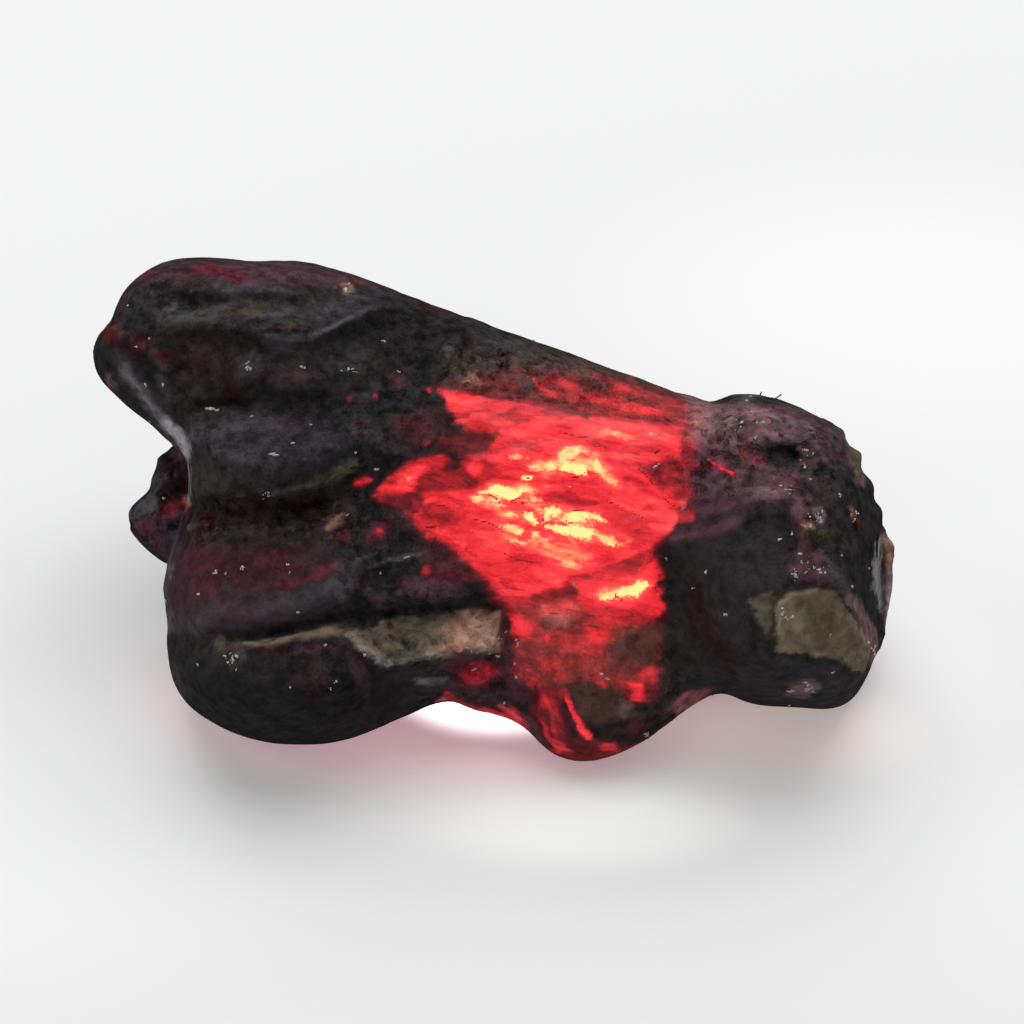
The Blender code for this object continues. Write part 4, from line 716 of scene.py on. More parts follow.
        ("brick", (1.3, -7.05, 2.4, -7.2, 3.6, -7.05, 4.4, -6.8, 4.2, -7.2, 2.4, -7.7,
            1.3, -7.5), 0.12, 0.8),
        ("plum", (0.8, -5.9, 1.1, -6.0, 1.5, -6.9, 1.6, -7.3, 1.2, -7.2, 0.7, -6.4), 0.1, 0.9),
        ("paintedSheen", (0.9, -6.1, 1.1, -6.2, 1.5, -7.1, 1.3, -7.2), 0.1, 0.3),
        ("mauve", (5.15, -5.85, 5.3, -5.5, 5.7, -5.25, 6.3, -5.2, 6.5, -5.35, 6.0, -5.7,
            5.5, -6.0), 0.06, 1.0),
        ("rose", (5.3, -5.8, 5.8, -5.35, 6.2, -5.35, 5.8, -5.8), 0.12, 0.4),
        ("paintedSheen", (5.5, -5.85, 5.8, -5.5, 6.2, -5.5, 5.9, -5.8), 0.08, 0.4),
        ("plum", (5.4, -4.9, 5.6, -4.8, 5.85, -4.9, 5.8, -5.15, 5.5, -5.2), 0.07, 0.9),
        ("plum", (6.1, -5.5, 6.7, -5.4, 6.8, -5.65, 6.2, -5.75), 0.08, 0.9),
        ("brick", (4.9, -6.35, 6.0, -5.95, 7.1, -5.55, 7.1, -5.9, 5.6, -6.6), 0.1, 0.6),
        # slope over the window
        ("brown", (-1.9, 3.6, -1.2, 4.6, 0.6, 5.0, 3.0, 4.5, 6.0, 3.5, 6.0, 2.6, 3.0, 2.9,
            -1.2, 3.5), 0.3, 0.45),
        ("moss", (-1.8, 3.9, -1.0, 4.7, 0.6, 5.0, 3.0, 4.5, 4.6, 3.9, 2.6, 4.0, 0.6, 4.2,
            -1.4, 3.9), 0.25, 0.6),
        ("olive", (1.8, 4.2, 2.6, 4.25, 3.0, 3.95, 2.2, 3.85), 0.15, 0.3),
        ("brick", (-1.0, 3.8, 0.4, 4.0, 1.5, 3.3, -0.6, 3.5), 0.25, 0.6),
        ("brick", (0.6, 4.3, 1.6, 3.9, 2.4, 3.9, 5.0, 3.6, 6.1, 3.2, 6.2, 2.6, 3.0, 3.0,
            1.8, 3.2), 0.25, 0.7),
        ("tan", (-0.9, 4.0, -0.5, 4.1, -0.4, 3.8, -0.8, 3.7), 0.12, 0.25),
        ("umber", (0.8, 4.6, 2.0, 4.5, 3.6, 4.0, 3.2, 3.6, 1.0, 3.8), 0.25, 0.4),
        # crown
        ("mauve", (5.8, 3.4, 7.4, 3.2, 9.0, 2.9, 9.4, 2.4, 8.6, 2.0, 7.4, 2.0, 5.8, 2.0), 0.3, 0.95),
        ("plum", (8.8, 3.1, 9.8, 2.8, 10.8, 1.8, 10.4, 1.4, 9.4, 1.6, 8.8, 2.2), 0.3, 0.7),
        ("rose", (7.0, 3.0, 8.4, 2.9, 8.6, 2.5, 7.2, 2.5), 0.3, 0.35),
        ("crimson", (6.0, 2.2, 6.7, 2.3, 6.8, 1.75, 6.2, 1.5), 0.2, 0.6),
        ("crimson", (5.5, 2.7, 5.95, 2.8, 6.0, 1.2, 5.5, 1.2), 0.25, 0.55),
        ("brown", (5.7, 3.2, 6.8, 3.2, 7.2, 2.4, 6.6, 1.9, 5.7, 2.0), 0.25, 0.6),
        ("mauve", (5.7, 3.1, 6.5, 3.1, 6.8, 2.5, 6.4, 2.1, 5.8, 2.1), 0.2, 0.6),
        ("tan", (5.8, 2.7, 6.4, 2.8, 6.5, 2.5, 6.0, 2.3), 0.15, 0.12),
        ("olive", (6.6, 2.7, 7.0, 2.7, 7.0, 2.4, 6.7, 2.3), 0.12, 0.35),
        ("moss", (7.1, 2.9, 7.5, 2.8, 7.3, 2.4, 7.0, 2.5), 0.12, 0.6),
        ("brown", (8.2, 2.5, 8.9, 2.5, 9.3, 2.2, 8.4, 2.2), 0.14, 0.6),
        ("plum", (8.1, 3.2, 8.6, 3.2, 9.0, 2.9, 8.3, 2.9), 0.12, 0.7),
        ("black", (6.3, 3.4, 6.8, 3.7, 7.6, 3.8, 7.3, 3.2, 6.8, 3.15), 0.12, 0.8),
        ("black", (7.6, 3.7, 8.5, 3.5, 8.3, 3.1, 7.7, 3.1), 0.12, 0.7),
        ("plum", (7.2, 2.7, 8.0, 2.6, 8.2, 2.2, 7.4, 2.2), 0.2, 0.5),
        ("rose", (7.3, 2.6, 7.8, 2.5, 7.8, 2.3, 7.4, 2.3), 0.12, 0.35),
        ("blue", (8.4, 2.9, 9.6, 2.6, 10.2, 2.1, 9.2, 2.2, 8.4, 2.4), 0.25, 0.3),
        ("moss", (10.2, 2.4, 10.7, 2.3, 11.2, 1.3, 10.9, 1.1, 10.4, 1.6), 0.15, 0.8),
        ("olive", (10.3, 2.35, 10.75, 2.2, 11.2, 1.5, 11.0, 1.2, 10.6, 1.6), 0.12, 0.45),
        ("mauve", (10.5, 1.6, 10.95, 1.2, 11.0, 0.8, 10.75, 0.8, 10.6, 1.2), 0.12, 0.6),
        ("brown", (10.3, 2.2, 10.8, 1.9, 11.1, 1.4, 10.6, 1.6), 0.12, 0.5),
        ("mauve", crownSide, 0.25, 0.4),
        ("plum", crownSide, 0.25, 0.5),
        ("rose", (5.7, 1.8, 7.3, 1.9, 7.4, 1.2, 6.6, 0.9, 5.8, 1.1), 0.3, 0.4),
        ("crimson", (7.15, 2.0, 7.5, 2.1, 7.75, 1.8, 7.9, 1.5, 7.6, 1.4, 7.2, 1.6), 0.14, 0.38),
        ("crimson", (7.7, 1.6, 8.0, 1.6, 8.05, 1.3, 7.75, 1.3), 0.1, 0.25),
        ("plum", (5.6, 1.3, 6.6, 1.2, 6.8, 0.7, 5.7, 0.5), 0.25, 0.6),
        ("moss", (6.8, 1.9, 7.3, 1.9, 7.3, 1.3, 6.9, 1.3), 0.15, 0.5),
        # painted shade in the pit, with a painted highlight on its upper lip
        ("black", (8.0, 1.95, 8.6, 2.1, 8.95, 1.9, 8.9, 1.5, 8.4, 1.3, 8.0, 1.5), 0.14, 0.75),
        ("paintedSheen", (7.9, 2.15, 8.8, 2.15, 9.0, 2.0, 8.6, 2.05, 8.1, 2.0), 0.08, 0.5),
        ("plum", (8.9, 1.95, 9.5, 1.9, 9.7, 1.4, 9.2, 1.2, 8.9, 1.5), 0.12, 0.9),
        ("brown", (8.9, 1.7, 9.4, 1.7, 9.4, 1.3, 9.0, 1.3), 0.12, 0.6),
        ("plum", (7.9, 1.3, 8.9, 1.3, 8.8, 0.5, 8.0, 0.5), 0.2, 0.9),
        ("rose", (8.0, 1.2, 8.6, 1.1, 8.6, 0.7, 8.1, 0.7), 0.2, 0.35),
        ("brown", (9.0, 1.0, 10.0, 1.0, 10.2, 0.4, 9.2, 0.2), 0.25, 0.35),
        ("black", (9.5, 1.5, 10.3, 1.5, 10.6, 0.7, 9.9, 0.4), 0.25, 0.5),
        ("blue", (9.6, 1.6, 10.3, 1.5, 10.5, 1.2, 9.9, 1.2), 0.2, 0.4),
        ("plum", (5.9, 0.8, 8.6, 0.65, 8.8, 0.3, 7.4, 0.1, 6.0, -0.2), 0.2, 0.75),
        ("paintedSheen", (7.4, 0.65, 8.7, 0.6, 8.8, 0.4, 7.6, 0.35), 0.12, 0.3),
        ("mauve", (7.6, 0.75, 8.4, 0.8, 8.6, 0.5, 7.8, 0.45), 0.12, 0.5),
        ("mauve", (7.42, 0.1, 7.55, 0.12, 7.55, -0.02, 7.45, -0.05), 0.1, 0.5),
        ("plum", (5.1, -0.7, 5.9, -0.4, 7.2, -0.1, 7.2, -0.5, 6.0, -0.95, 5.2, -1.1), 0.15, 0.95),
        ("paintedSheen", (5.4, -0.85, 6.2, -0.5, 7.0, -0.35, 6.2, -0.75, 5.5, -1.05), 0.1, 0.15),
        ("rose", (8.6, 0.3, 9.05, 0.2, 9.0, -0.6, 8.7, -0.6), 0.14, 0.6),
        ("mauve", (8.65, 0.45, 9.1, 0.4, 9.15, 0.1, 8.9, -0.2, 8.7, 0.0), 0.1, 0.6),
        ("brown", (8.7, -0.5, 9.1, -0.5, 9.1, -1.1, 8.8, -1.1), 0.15, 0.7),
        ("tan", (9.0, -0.25, 9.25, -0.3, 9.2, -0.5, 9.0, -0.45), 0.07, 0.4),
        ("mauve", (9.2, 0.15, 9.6, 0.1, 9.65, -0.1, 9.4, -0.45, 9.3, -0.2), 0.06, 0.7),
        ("moss", (9.3, -0.45, 9.85, -0.5, 9.8, -0.8, 9.4, -0.8), 0.1, 0.9),
        ("rose", (10.3, 0.15, 10.5, 0.1, 10.8, -0.4, 10.5, -0.35), 0.08, 0.7),
        ("tan", (10.35, 0.1, 10.5, 0.05, 10.6, -0.15, 10.4, -0.15), 0.06, 0.35),
        ("plum", (8.5, -1.15, 9.6, -1.15, 9.7, -1.9, 9.3, -2.1, 8.5, -2.0), 0.14, 0.7),
        ("mauve", (8.6, -1.5, 8.9, -1.2, 9.1, -1.6, 8.7, -2.0), 0.14, 0.4),
        ("mauve", (9.2, -1.3, 9.5, -1.2, 9.6, -1.8, 9.3, -1.9), 0.14, 0.4),
        # knob
        ("slate", (5.2, -0.9, 8.4, -0.4, 8.4, -2.2, 7.2, -2.4, 7.4, -4.2, 11.2, -4.4, 11.0, -6.2, 6.6, -6.0,
            5.0, -4.4), 0.2, 0.75),
        ("maroon", (5.6, -1.9, 6.15, -2.1, 6.3, -2.9, 6.6, -3.6, 7.0, -3.9, 7.2, -4.5, 6.9, -4.9, 6.3, -4.3,
            5.8, -3.6, 5.5, -2.8), 0.22, 0.5),
        ("moss", (5.05, -3.2, 5.5, -3.3, 5.9, -4.2, 5.6, -4.8, 5.05, -4.6), 0.25, 0.25),
        ("paintedSheen", (6.4, -2.8, 6.8, -2.8, 6.8, -3.3, 6.4, -3.3), 0.1, 0.2),
        # the olive facets: their own tone, painted lighter as a reflection of the room on their flat faces
        ("olive", knobFacets["olive"], 0.05, 0.85),
        ("olive", knobFacets["small"], 0.08, 0.55),
        ("moss", (7.95, -2.35, 8.2, -2.3, 8.2, -3.9, 8.0, -3.6), 0.08, 0.7),
        ("moss", (8.9, -2.3, 9.8, -2.4, 10.0, -3.3, 9.3, -3.9, 8.8, -3.2), 0.4, 0.4),
        ("brown", (10.2, -3.2, 10.8, -3.9, 10.8, -4.5, 10.2, -4.1), 0.25, 0.2),
        ("sand", (8.5, -2.9, 8.9, -2.8, 9.1, -3.7, 8.6, -3.9), 0.25, 0.45),
        ("moss", (9.4, -3.0, 9.9, -3.2, 10.1, -4.0, 9.6, -3.9), 0.3, 0.25),
        ("olive", (8.15, -2.7, 8.4, -2.6, 8.45, -4.0, 8.15, -4.0), 0.1, 0.6),
        ("brown", (9.05, -3.1, 9.35, -3.1, 9.3, -3.3, 9.1, -3.3), 0.06, 0.5),
        ("brown", (8.7, -3.5, 9.0, -3.5, 9.0, -3.9, 8.7, -3.9), 0.2, 0.3),
        ("mauve", (10.0, -2.2, 10.5, -2.4, 11.4, -3.6, 11.6, -4.3, 11.2, -4.9, 11.1, -4.0,
            10.5, -3.0), 0.1, 0.65),
        ("paintedSheen", (9.4, -1.1, 9.8, -1.3, 10.4, -2.3, 10.8, -2.9, 10.3, -2.6, 9.7, -2.0), 0.1, 0.35),
        # painted sheen and highlight on the pale facet at the right rim
        ("blue", knobFacets["pale"], 0.05, 0.6),
        ("paintedSheen", knobFacets["pale"], 0.05, 0.8),
        ("paintedHighlight", (11.25, -1.0, 11.6, -0.7, 11.65, -1.2, 11.75, -1.9, 11.65, -3.1, 11.3, -2.4,
            11.15, -1.8), 0.05, 0.46),
        ("mauve", (11.75, -1.5, 12.1, -1.5, 12.1, -3.2, 11.8, -3.6), 0.08, 0.9),
        ("paintedHighlight", (11.75, -1.8, 12.1, -1.8, 12.1, -2.8, 11.8, -3.0), 0.08, 0.3),
        ("tan", (11.65, -0.7, 12.1, -0.7, 12.1, -1.6, 11.8, -1.5), 0.1, 0.35),
        ("mauve", (8.6, -5.1, 9.3, -4.85, 9.55, -5.1, 9.2, -5.45, 8.65, -5.4), 0.12, 0.6),
    ),
    # colour, line, half width, strength
    "lines": (
        # thin pink edge over the arch, painted light from below shining through it
        ("blush", (-1.6, -5.55, -0.9, -5.88, -0.3, -6.05, 0.2, -6.12, 0.6, -6.3), 0.08, 0.8),
        ("blush", (0.25, -5.75, 0.5, -5.9, 0.7, -6.2), 0.07, 0.6),
        # painted highlights along the left rim
        ("pearl", (-10.9, 4.2, -10.2, 3.3, -9.6, 2.55, -9.2, 2.1), 0.14, 0.65),
        ("paintedHighlight", (-9.7, 2.6, -9.35, 2.3, -9.15, 2.1, -9.1, 1.8), 0.13, 1.0),
        ("paintedHighlight", (-9.15, 1.95, -9.08, 1.0, -9.1, 0.25), 0.06, 0.6),
        ("blue", (-9.7, -0.2, -9.6, -0.9), 0.25, 0.7),
        ("paintedSheen", (-9.7, -0.2, -9.75, -1.2, -9.85, -2.4, -9.75, -3.4), 0.18, 0.5),
        ("pearl", (-9.55, -1.95, -9.7, -1.6, -9.45, -1.7), 0.06, 0.5),
        ("pearl", (-9.6, -3.0, -9.6, -3.4), 0.1, 0.3),
        # painted sheen along the head's ridges and painted shade in the groove beside them
        ("paintedSheen", (-9.7, 6.0, -9.5, 5.85, -9.35, 6.15), 0.07, 0.6),
        ("paintedSheen", (-7.2, 5.7, -6.5, 5.76, -5.9, 5.85), 0.08, 0.5),
        ("paintedSheen", (-6.6, 5.15, -6.0, 5.03, -5.4, 5.1, -4.9, 5.32, -4.3, 5.64, -3.6, 6.0), 0.08, 0.7),
        ("paintedSheen", (-6.4, 5.08, -6.0, 5.03, -5.5, 5.06, -4.9, 5.32), 0.07, 0.6),
        ("black", (-6.3, 5.28, -5.6, 5.25, -5.1, 5.4), 0.1, 0.6),
        ("rose", (-8.75, 7.2, -8.4, 7.25, -8.0, 7.1, -7.3, 6.85), 0.08, 0.7),
        # painted highlight on a small ridge of the shelf, painted shade under it and in the groove above
        ("pearl", (-3.1, -1.42, -2.4, -1.28), 0.05, 0.8),
        ("paintedSheen", (-3.6, -1.6, -2.9, -1.35, -2.2, -1.22), 0.07, 0.4),
        ("black", (-3.7, -1.75, -3.0, -1.6, -2.2, -1.5), 0.06, 0.7),
        ("paintedSheen", (-3.3, -0.95, -2.7, -0.7), 0.06, 0.35),
        ("black", (-3.4, -1.15, -2.6, -0.85), 0.06, 0.6),
        ("tan", (-4.85, -0.35, -4.4, -0.1), 0.05, 0.5),
        # painted shade under the strip's overhang round the scoop
        ("black", (-6.2, -4.0, -5.6, -3.86, -5.1, -3.72, -4.6, -3.7, -4.1, -3.95, -3.7, -4.4,
            -3.5, -4.8), 0.09, 0.8),
        # painted shadow over the strip where the shelf overhangs it, the strip, and its pale lower edge with
        # a painted highlight
        ("black", (-7.2, -3.68, -6.2, -3.52, -5.4, -3.28, -4.5, -3.1, -3.0, -2.98, -1.0, -2.8,
            0.1, -2.78), 0.09, 0.75),
        ("brown", (-7.6, -3.85, -6.6, -3.85, -5.8, -3.7, -5.0, -3.5), 0.08, 0.9),
        ("olive", (-7.2, -3.8, -6.4, -3.78, -5.7, -3.58, -5.0, -3.42, -4.4, -3.42), 0.07, 0.7),
        ("olive", (-4.9, -3.45, -4.4, -3.46, -3.9, -3.6, -3.5, -3.85), 0.13, 0.75),
        ("crumb", (-4.2, -3.62, -3.8, -3.85, -3.45, -4.15, -3.1, -4.42), 0.1, 0.95),
        ("paintedHighlight", (-3.7, -4.0, -3.4, -4.25, -3.1, -4.43, -2.6, -4.36), 0.05, 0.5),
        ("crumb", (-3.1, -4.42, -2.2, -4.25, -1.2, -4.08), 0.06, 0.8),
        ("crumb", (-1.0, -4.0, -0.4, -3.98, 0.05, -4.05), 0.05, 0.5),
        ("moss", (-6.4, 0.5, -5.4, 0.78, -4.7, 1.05, -4.12, 1.42), 0.16, 0.8),
        ("olive", (-4.9, 0.95, -4.5, 1.12, -4.12, 1.42), 0.12, 0.5),
        ("paintedSheen", (-6.0, 0.58, -5.1, 0.82), 0.06, 0.6),
        ("crumb", (8.3, -2.6, 8.35, -3.1, 8.3, -3.6), 0.05, 0.4),
        ("crimson", (6.25, 1.6, 6.6, 1.3, 7.0, 1.1), 0.1, 1.0),
        ("paintedSheen", (7.2, 3.1, 7.45, 3.42, 8.0, 3.52), 0.09, 0.7),
        ("paintedSheen", (8.3, 2.75, 8.9, 2.6, 9.4, 2.35), 0.08, 0.5),
        ("plum", (5.2, -5.95, 5.2, -5.7, 5.5, -5.35, 6.0, -5.15, 6.5, -5.25), 0.05, 0.8),
    ),
}


def finishedMesh(thing):
    bpy.context.view_layer.update()
    return bpy.data.meshes.new_from_object(thing.evaluated_get(bpy.context.evaluated_depsgraph_get()))


def stoneCopy():
    # the solid again with its flat triangles worn away, and twice as fine in front
    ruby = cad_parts["ruby_crystal"]
    stone = bpy.data.objects.new("rubyStone", ruby.data.copy())
    bpy.context.collection.objects.link(stone)
    skin = stone.modifiers.new("skin", "REMESH")
    skin.mode = "VOXEL"
    skin.voxel_size = stoneSkin["voxel"] * mm
    worn = stone.modifiers.new("worn", "SMOOTH")
    worn.iterations = stoneSkin["smoothing"]
    finished = finishedMesh(stone)
    stone.modifiers.clear()
    finer = bmesh.new()
    finer.from_mesh(finished)
    outward = Vector(leanOut)
    turned = [face for face in finer.faces if face.normal.dot(outward) > stoneSkin["finerFacing"]]
    front = sorted({edge for face in turned for edge in face.edges}, key=lambda edge: edge.index)
    bmesh.ops.subdivide_edges(finer, edges=front, cuts=1, use_grid_fill=True)
    finer.to_mesh(finished)
    finer.free()
    stone.data = finished
    return stone


def vertexArrays(mesh):
    places = np.empty(len(mesh.vertices) * 3)
    normals = np.empty(len(mesh.vertices) * 3)
    mesh.vertices.foreach_get("co", places)
    mesh.vertex_normals.foreach_get("vector", normals)
    return places.reshape(-1, 3), normals.reshape(-1, 3)


def meshPairs(mesh):
    pairs = np.empty(len(mesh.edges) * 2, int)
    mesh.edges.foreach_get("vertices", pairs)
    return pairs.reshape(-1, 2)


def spread(values, pairs, rounds):
    # each round moves a value halfway to the middle of its neighbours
    count = len(values)
    near = np.bincount(pairs.ravel(), minlength=count)
    for turn in range(rounds):
        total = np.bincount(pairs[:, 0], values[pairs[:, 1]], count)
        total += np.bincount(pairs[:, 1], values[pairs[:, 0]], count)
        values = 0.5 * values + 0.5 * total / near
    return values


def spreadPlaces(places, pairs, rounds):
    return np.stack([spread(places[:, axis], pairs, rounds) for axis in range(3)], axis=-1)


def zoneShares(u, v, facing):
    rough, layered = (np.full(len(u), value) for value in stoneSkin["hidden"])
    for outline, roughHere, layersHere in stoneSkin["zones"]:
        share = insideShare(u, v, outline, stoneSkin["zoneSoftness"]) * facing
        rough += (roughHere - rough) * share
        layered += (layersHere - layered) * share
    return rough, layered


def flatten(places, facing):
    # each flat break is moved onto the plane that fits it best
    u, v, w = toLean(places)
    for outline in stoneSkin["flats"]:
        share = insideShare(u, v, outline, stoneSkin["flatSoftness"]) * (facing > stoneSkin["flatFacing"])
        inside = share > 0.5
        if inside.sum() < stoneSkin["flatFewest"]:
            continue
        table = np.stack((np.ones(inside.sum()), u[inside], v[inside]), axis=-1)
        level, slopeU, slopeV = np.linalg.lstsq(table, w[inside], rcond=None)[0]
        w += (level + slopeU * u + slopeV * v - w) * share
    middle = np.array(leanFrame["middle"])
    y = v * leanSine - w * leanCosine
    z = v * leanCosine + w * leanSine
    return (np.stack((u, y, z), axis=-1) + middle) * mm


def strokeRelief(u, v):
    relief = np.zeros(len(u))
    for line, height, halfWidth in stoneSkin["strokes"]:
        away = lineDistance(u, v, line, reach=halfWidth * stoneSkin["strokeReach"]) / halfWidth
        relief += height * np.exp(-away ** 2)
    for crumbU, crumbV, radius, height in stoneSkin["crumbs"]:
        relief += height * np.exp(-(np.hypot(u - crumbU, v - crumbV) / radius) ** 4)
    return relief


def chipRelief(places, count, tilt, limit, seed):
    # small flat breaks: the skin tilts its own way round each centre
    random = np.random.default_rng(seed)
    chosen = random.choice(len(places), count, replace=False)
    tree = kdtree.KDTree(count)
    for number, index in enumerate(chosen):
        tree.insert(Vector(places[index]), number)
    tree.balance()
    tilts = random.normal(size=(count, 3)) * tilt
    relief = np.empty(len(places))
    for index, place in enumerate(places):
        centre, number = tree.find(Vector(place))[:2]
        relief[index] = (place - np.array(centre)) @ tilts[number] / mm
    return np.clip(relief, -limit, limit)


def carve(mesh, pairs):
    firstRounds, lastRounds = stoneSkin["placeRounds"]
    chipGain, chipLoss = stoneSkin["chipShare"]
    places, normals = vertexArrays(mesh)
    places = spreadPlaces(places, pairs, firstRounds)
    turned = spreadPlaces(normals, pairs, stoneSkin["turnRounds"]) @ leanOut
    facing = smoothStep(normals @ leanOut, *stoneSkin["facing"])
    seen = smoothStep(turned, *stoneSkin["seen"])
    places = flatten(places, facing)
    u, v, w = toLean(places)
    lean = np.stack((u, v, w), axis=-1)
    rough, layered = zoneShares(u, v, seen)
    relief = noiseAt(lean, *stoneSkin["lumps"]) * (stoneSkin["smoothLumps"] + rough)
    bent = lean + noiseAt(lean, *stoneSkin["layerBend"])[:, None] * np.array(stoneSkin["bendAxes"])
    size, height, octaves, seed = stoneSkin["layers"]
    relief += height * (stoneSkin["layerMiddle"] - np.abs(noiseAt(bent, size, 1, octaves, seed))) * layered
    for chips in stoneSkin["chips"]:
        relief += chipRelief(places, *chips) * np.clip(rough * chipGain - chipLoss, 0, 1)
    for name in ("grain", "pits"):
        relief += noiseAt(lean, *stoneSkin[name]) * rough
    # calmer towards the rim
    calm = 1 - stoneSkin["rimCalm"] * (seen * (1 - smoothStep(turned, *stoneSkin["offRim"])))
    rough *= calm
    relief *= calm
    relief -= relief.mean() + stoneSkin["shrink"]
    relief += strokeRelief(u, v) * facing
    for nickU, nickV, radius, height in stoneSkin["nicks"]:
        relief += height * np.exp(-(np.hypot(u - nickU, v - nickV) / radius) ** 2)
    places += normals * relief[:, None] * mm
    places = spreadPlaces(places, pairs, lastRounds)
    places[:, 2] = np.maximum(places[:, 2], 0)
    mesh.vertices.foreach_set("co", places.ravel())
    mesh.update()
    return rough


# painted glow from the patches, streaks and sparks, standing in for light from below
def paintedGlowField(u, v, warpU, warpV, facing):
    heat = np.zeros(len(u))
    for outline, softness, strength in window["patches"]:
        heat += (strength - heat) * insideShare(u + warpU, v + warpV, outline, softness)
    u, v = u + window["warpShare"] * warpU, v + window["warpShare"] * warpV

    def addLight(distance, width, fade, strength):
        start, end = fade
        share = 1 - smoothStep(distance, width * start, width * end)
        return heat + (np.maximum(strength, heat) - heat) * share

    for line, halfWidth, strength in window["streaks"]:
        distance = lineDistance(u, v, line, reach=halfWidth * 2)
        heat = addLight(distance, halfWidth, window["streakFade"], strength)
    for sparkU, sparkV, radius, strength in window["sparks"]:
        heat = addLight(np.hypot(u - sparkU, v - sparkV), radius, window["sparkFade"], strength)
    return heat * facing


def flakeFields(u, v, facing):
    # 0.5 on each flake's outline, more inside; and the heat of the nearest flake
    depth, hottest = np.full(len(u), -1.0), np.full(len(u), window["usualFlakeHeat"])
    for strength, outline in window["flakes"]:
        here = signedDepth(u, v, outline)
        hottest[here > depth] = strength
        depth = np.maximum(depth, here)
    return np.clip(0.5 + depth * window["flakeSlope"], 0, 1) * (facing > window["flakeFacing"]), hottest


def crackField(u, v, facing):
    crack = np.zeros(len(u))
    for line, halfWidth in window["cracks"]:
        distance = lineDistance(u, v, line, reach=window["crackReach"])
        crack = np.maximum(crack, 1 - distance / (halfWidth * 2))
    return np.clip(crack, 0, 1) * facing


def skinColours(u, v, lean, facing, bulge, rough, cool, clear):
    shades = {name: np.array(colour) for name, colour in skinPaint["colours"].items()}
    tint = np.tile(shades["dark"], (len(u), 1))
    noises = {name: noiseAt(lean, *row) for name, row in skinPaint["noises"].items()}
    broad, small, crumbly = noises["broad"], noises["small"], noises["crumbly"] * rough
    follows = {
        **noises,
        "mottles": broad + 0.5 * small,
        "gaps": -broad + 0.5 * small,
        "ridges": bulge + 0.2 * small,
        "hollows": -bulge + 0.1 * small,
        "crumbs": crumbly,
        "crumbGaps": -crumbly,
    }
    places = {"everywhere": 1, "hidden": 1 - facing, "cool": cool}
    smallShare, crumblyShare = skinPaint["mottling"]
    mottled = 1 + smallShare * small + crumblyShare * crumbly

    def lay(name, share):
        tint[:] += (shades[name] - tint) * np.clip(share, 0, 1)[:, None]

    def layAllOver(rows):
        for name, followed, low, high, strength, where in rows:
            lay(name, smoothStep(follows[followed], low, high) * strength * places[where])

    layAllOver(skinPaint["underAreas"])
    for name, outline, softness, strength in skinPaint["areas"]:
        lay(name, insideShare(u, v, outline, softness) * facing * strength * mottled)
    for name, line, halfWidth, strength in skinPaint["lines"]:
        distance = lineDistance(u, v, line, reach=halfWidth * skinPaint["lineReach"])
        lay(name, (1 - smoothStep(distance, 0, halfWidth * 2)) * strength * facing * mottled)
    layAllOver(skinPaint["overAreas"])
    # darker where the painted glow shows
    tint *= (1 - skinPaint["clearDarkening"] * clear ** 2)[:, None]
    return np.clip(tint, 0, 1)


def addAttribute(mesh, name, values):
    if values.ndim == 1:
        mesh.attributes.new(name, "FLOAT", "POINT").data.foreach_set("value", values.astype(np.float32))
    else:
        colours = np.ones((len(values), 4), np.float32)
        colours[:, :3] = values
        mesh.attributes.new(name, "FLOAT_COLOR", "POINT").data.foreach_set("color", colours.ravel())


def paint(mesh, pairs, rough):
    places, normals = vertexArrays(mesh)
    u, v, w = toLean(places)
    lean = np.stack((u, v, w), axis=-1)
    turned = spreadPlaces(normals, pairs, skinPaint["turnRounds"]) @ leanOut
    facing = smoothStep(turned, *skinPaint["facing"])
    # how far each place stands out of its surroundings, about -1 to 1
    around = spreadPlaces(places, pairs, skinPaint["bulgeRounds"])
    bulge = np.sum((places - around) * normals, axis=1) / mm / skinPaint["bulgeHeight"]
    smoothBulge, *bulgeRoughness = skinPaint["bulgeShare"]
    bulge *= smoothBulge + (1 - smoothBulge) * smoothStep(rough, *bulgeRoughness)
    warpU, warpV = noiseAt(lean, *skinPaint["warpU"]), noiseAt(lean, *skinPaint["warpV"])
    heat = paintedGlowField(u, v, warpU, warpV, facing)
    flakeWarp = skinPaint["flakeWarp"]
    flake, flakeHeat = flakeFields(u + flakeWarp * warpU, v + flakeWarp * warpV, facing)
    clear = smoothStep(heat, *skinPaint["clearHeat"])
    cool = 1 - smoothStep(heat, *skinPaint["coolHeat"])
    # pale dust with painted sheen on ridges and tops, only where the skin does not glow
    dust = skinPaint["dust"]
    (ridgeDustAndSheen, *ridges), (topDustAndSheen, *tops) = dust["ridges"], dust["tops"]
    dustAndSheen = dust["least"] + ridgeDustAndSheen * smoothStep(bulge, *ridges)
    dustAndSheen += topDustAndSheen * smoothStep(normals[:, 2], *tops)
    dustAndSheen *= (dust["smoothShare"] + (1 - dust["smoothShare"]) * rough) * cool
    tint = skinColours(u + warpU, v + warpV, lean, facing, bulge, rough, cool, clear)
    for name, values in (
        ("glow", heat),
        ("flake", flake),
        ("flakeHeat", flakeHeat),
        ("crack", crackField(u, v, facing)),
        ("clear", clear),
        ("rough", rough),
        ("dustAndSheen", np.clip(dustAndSheen, 0, 1)),
        ("skinTint", tint),
    ):
        addAttribute(mesh, name, values)


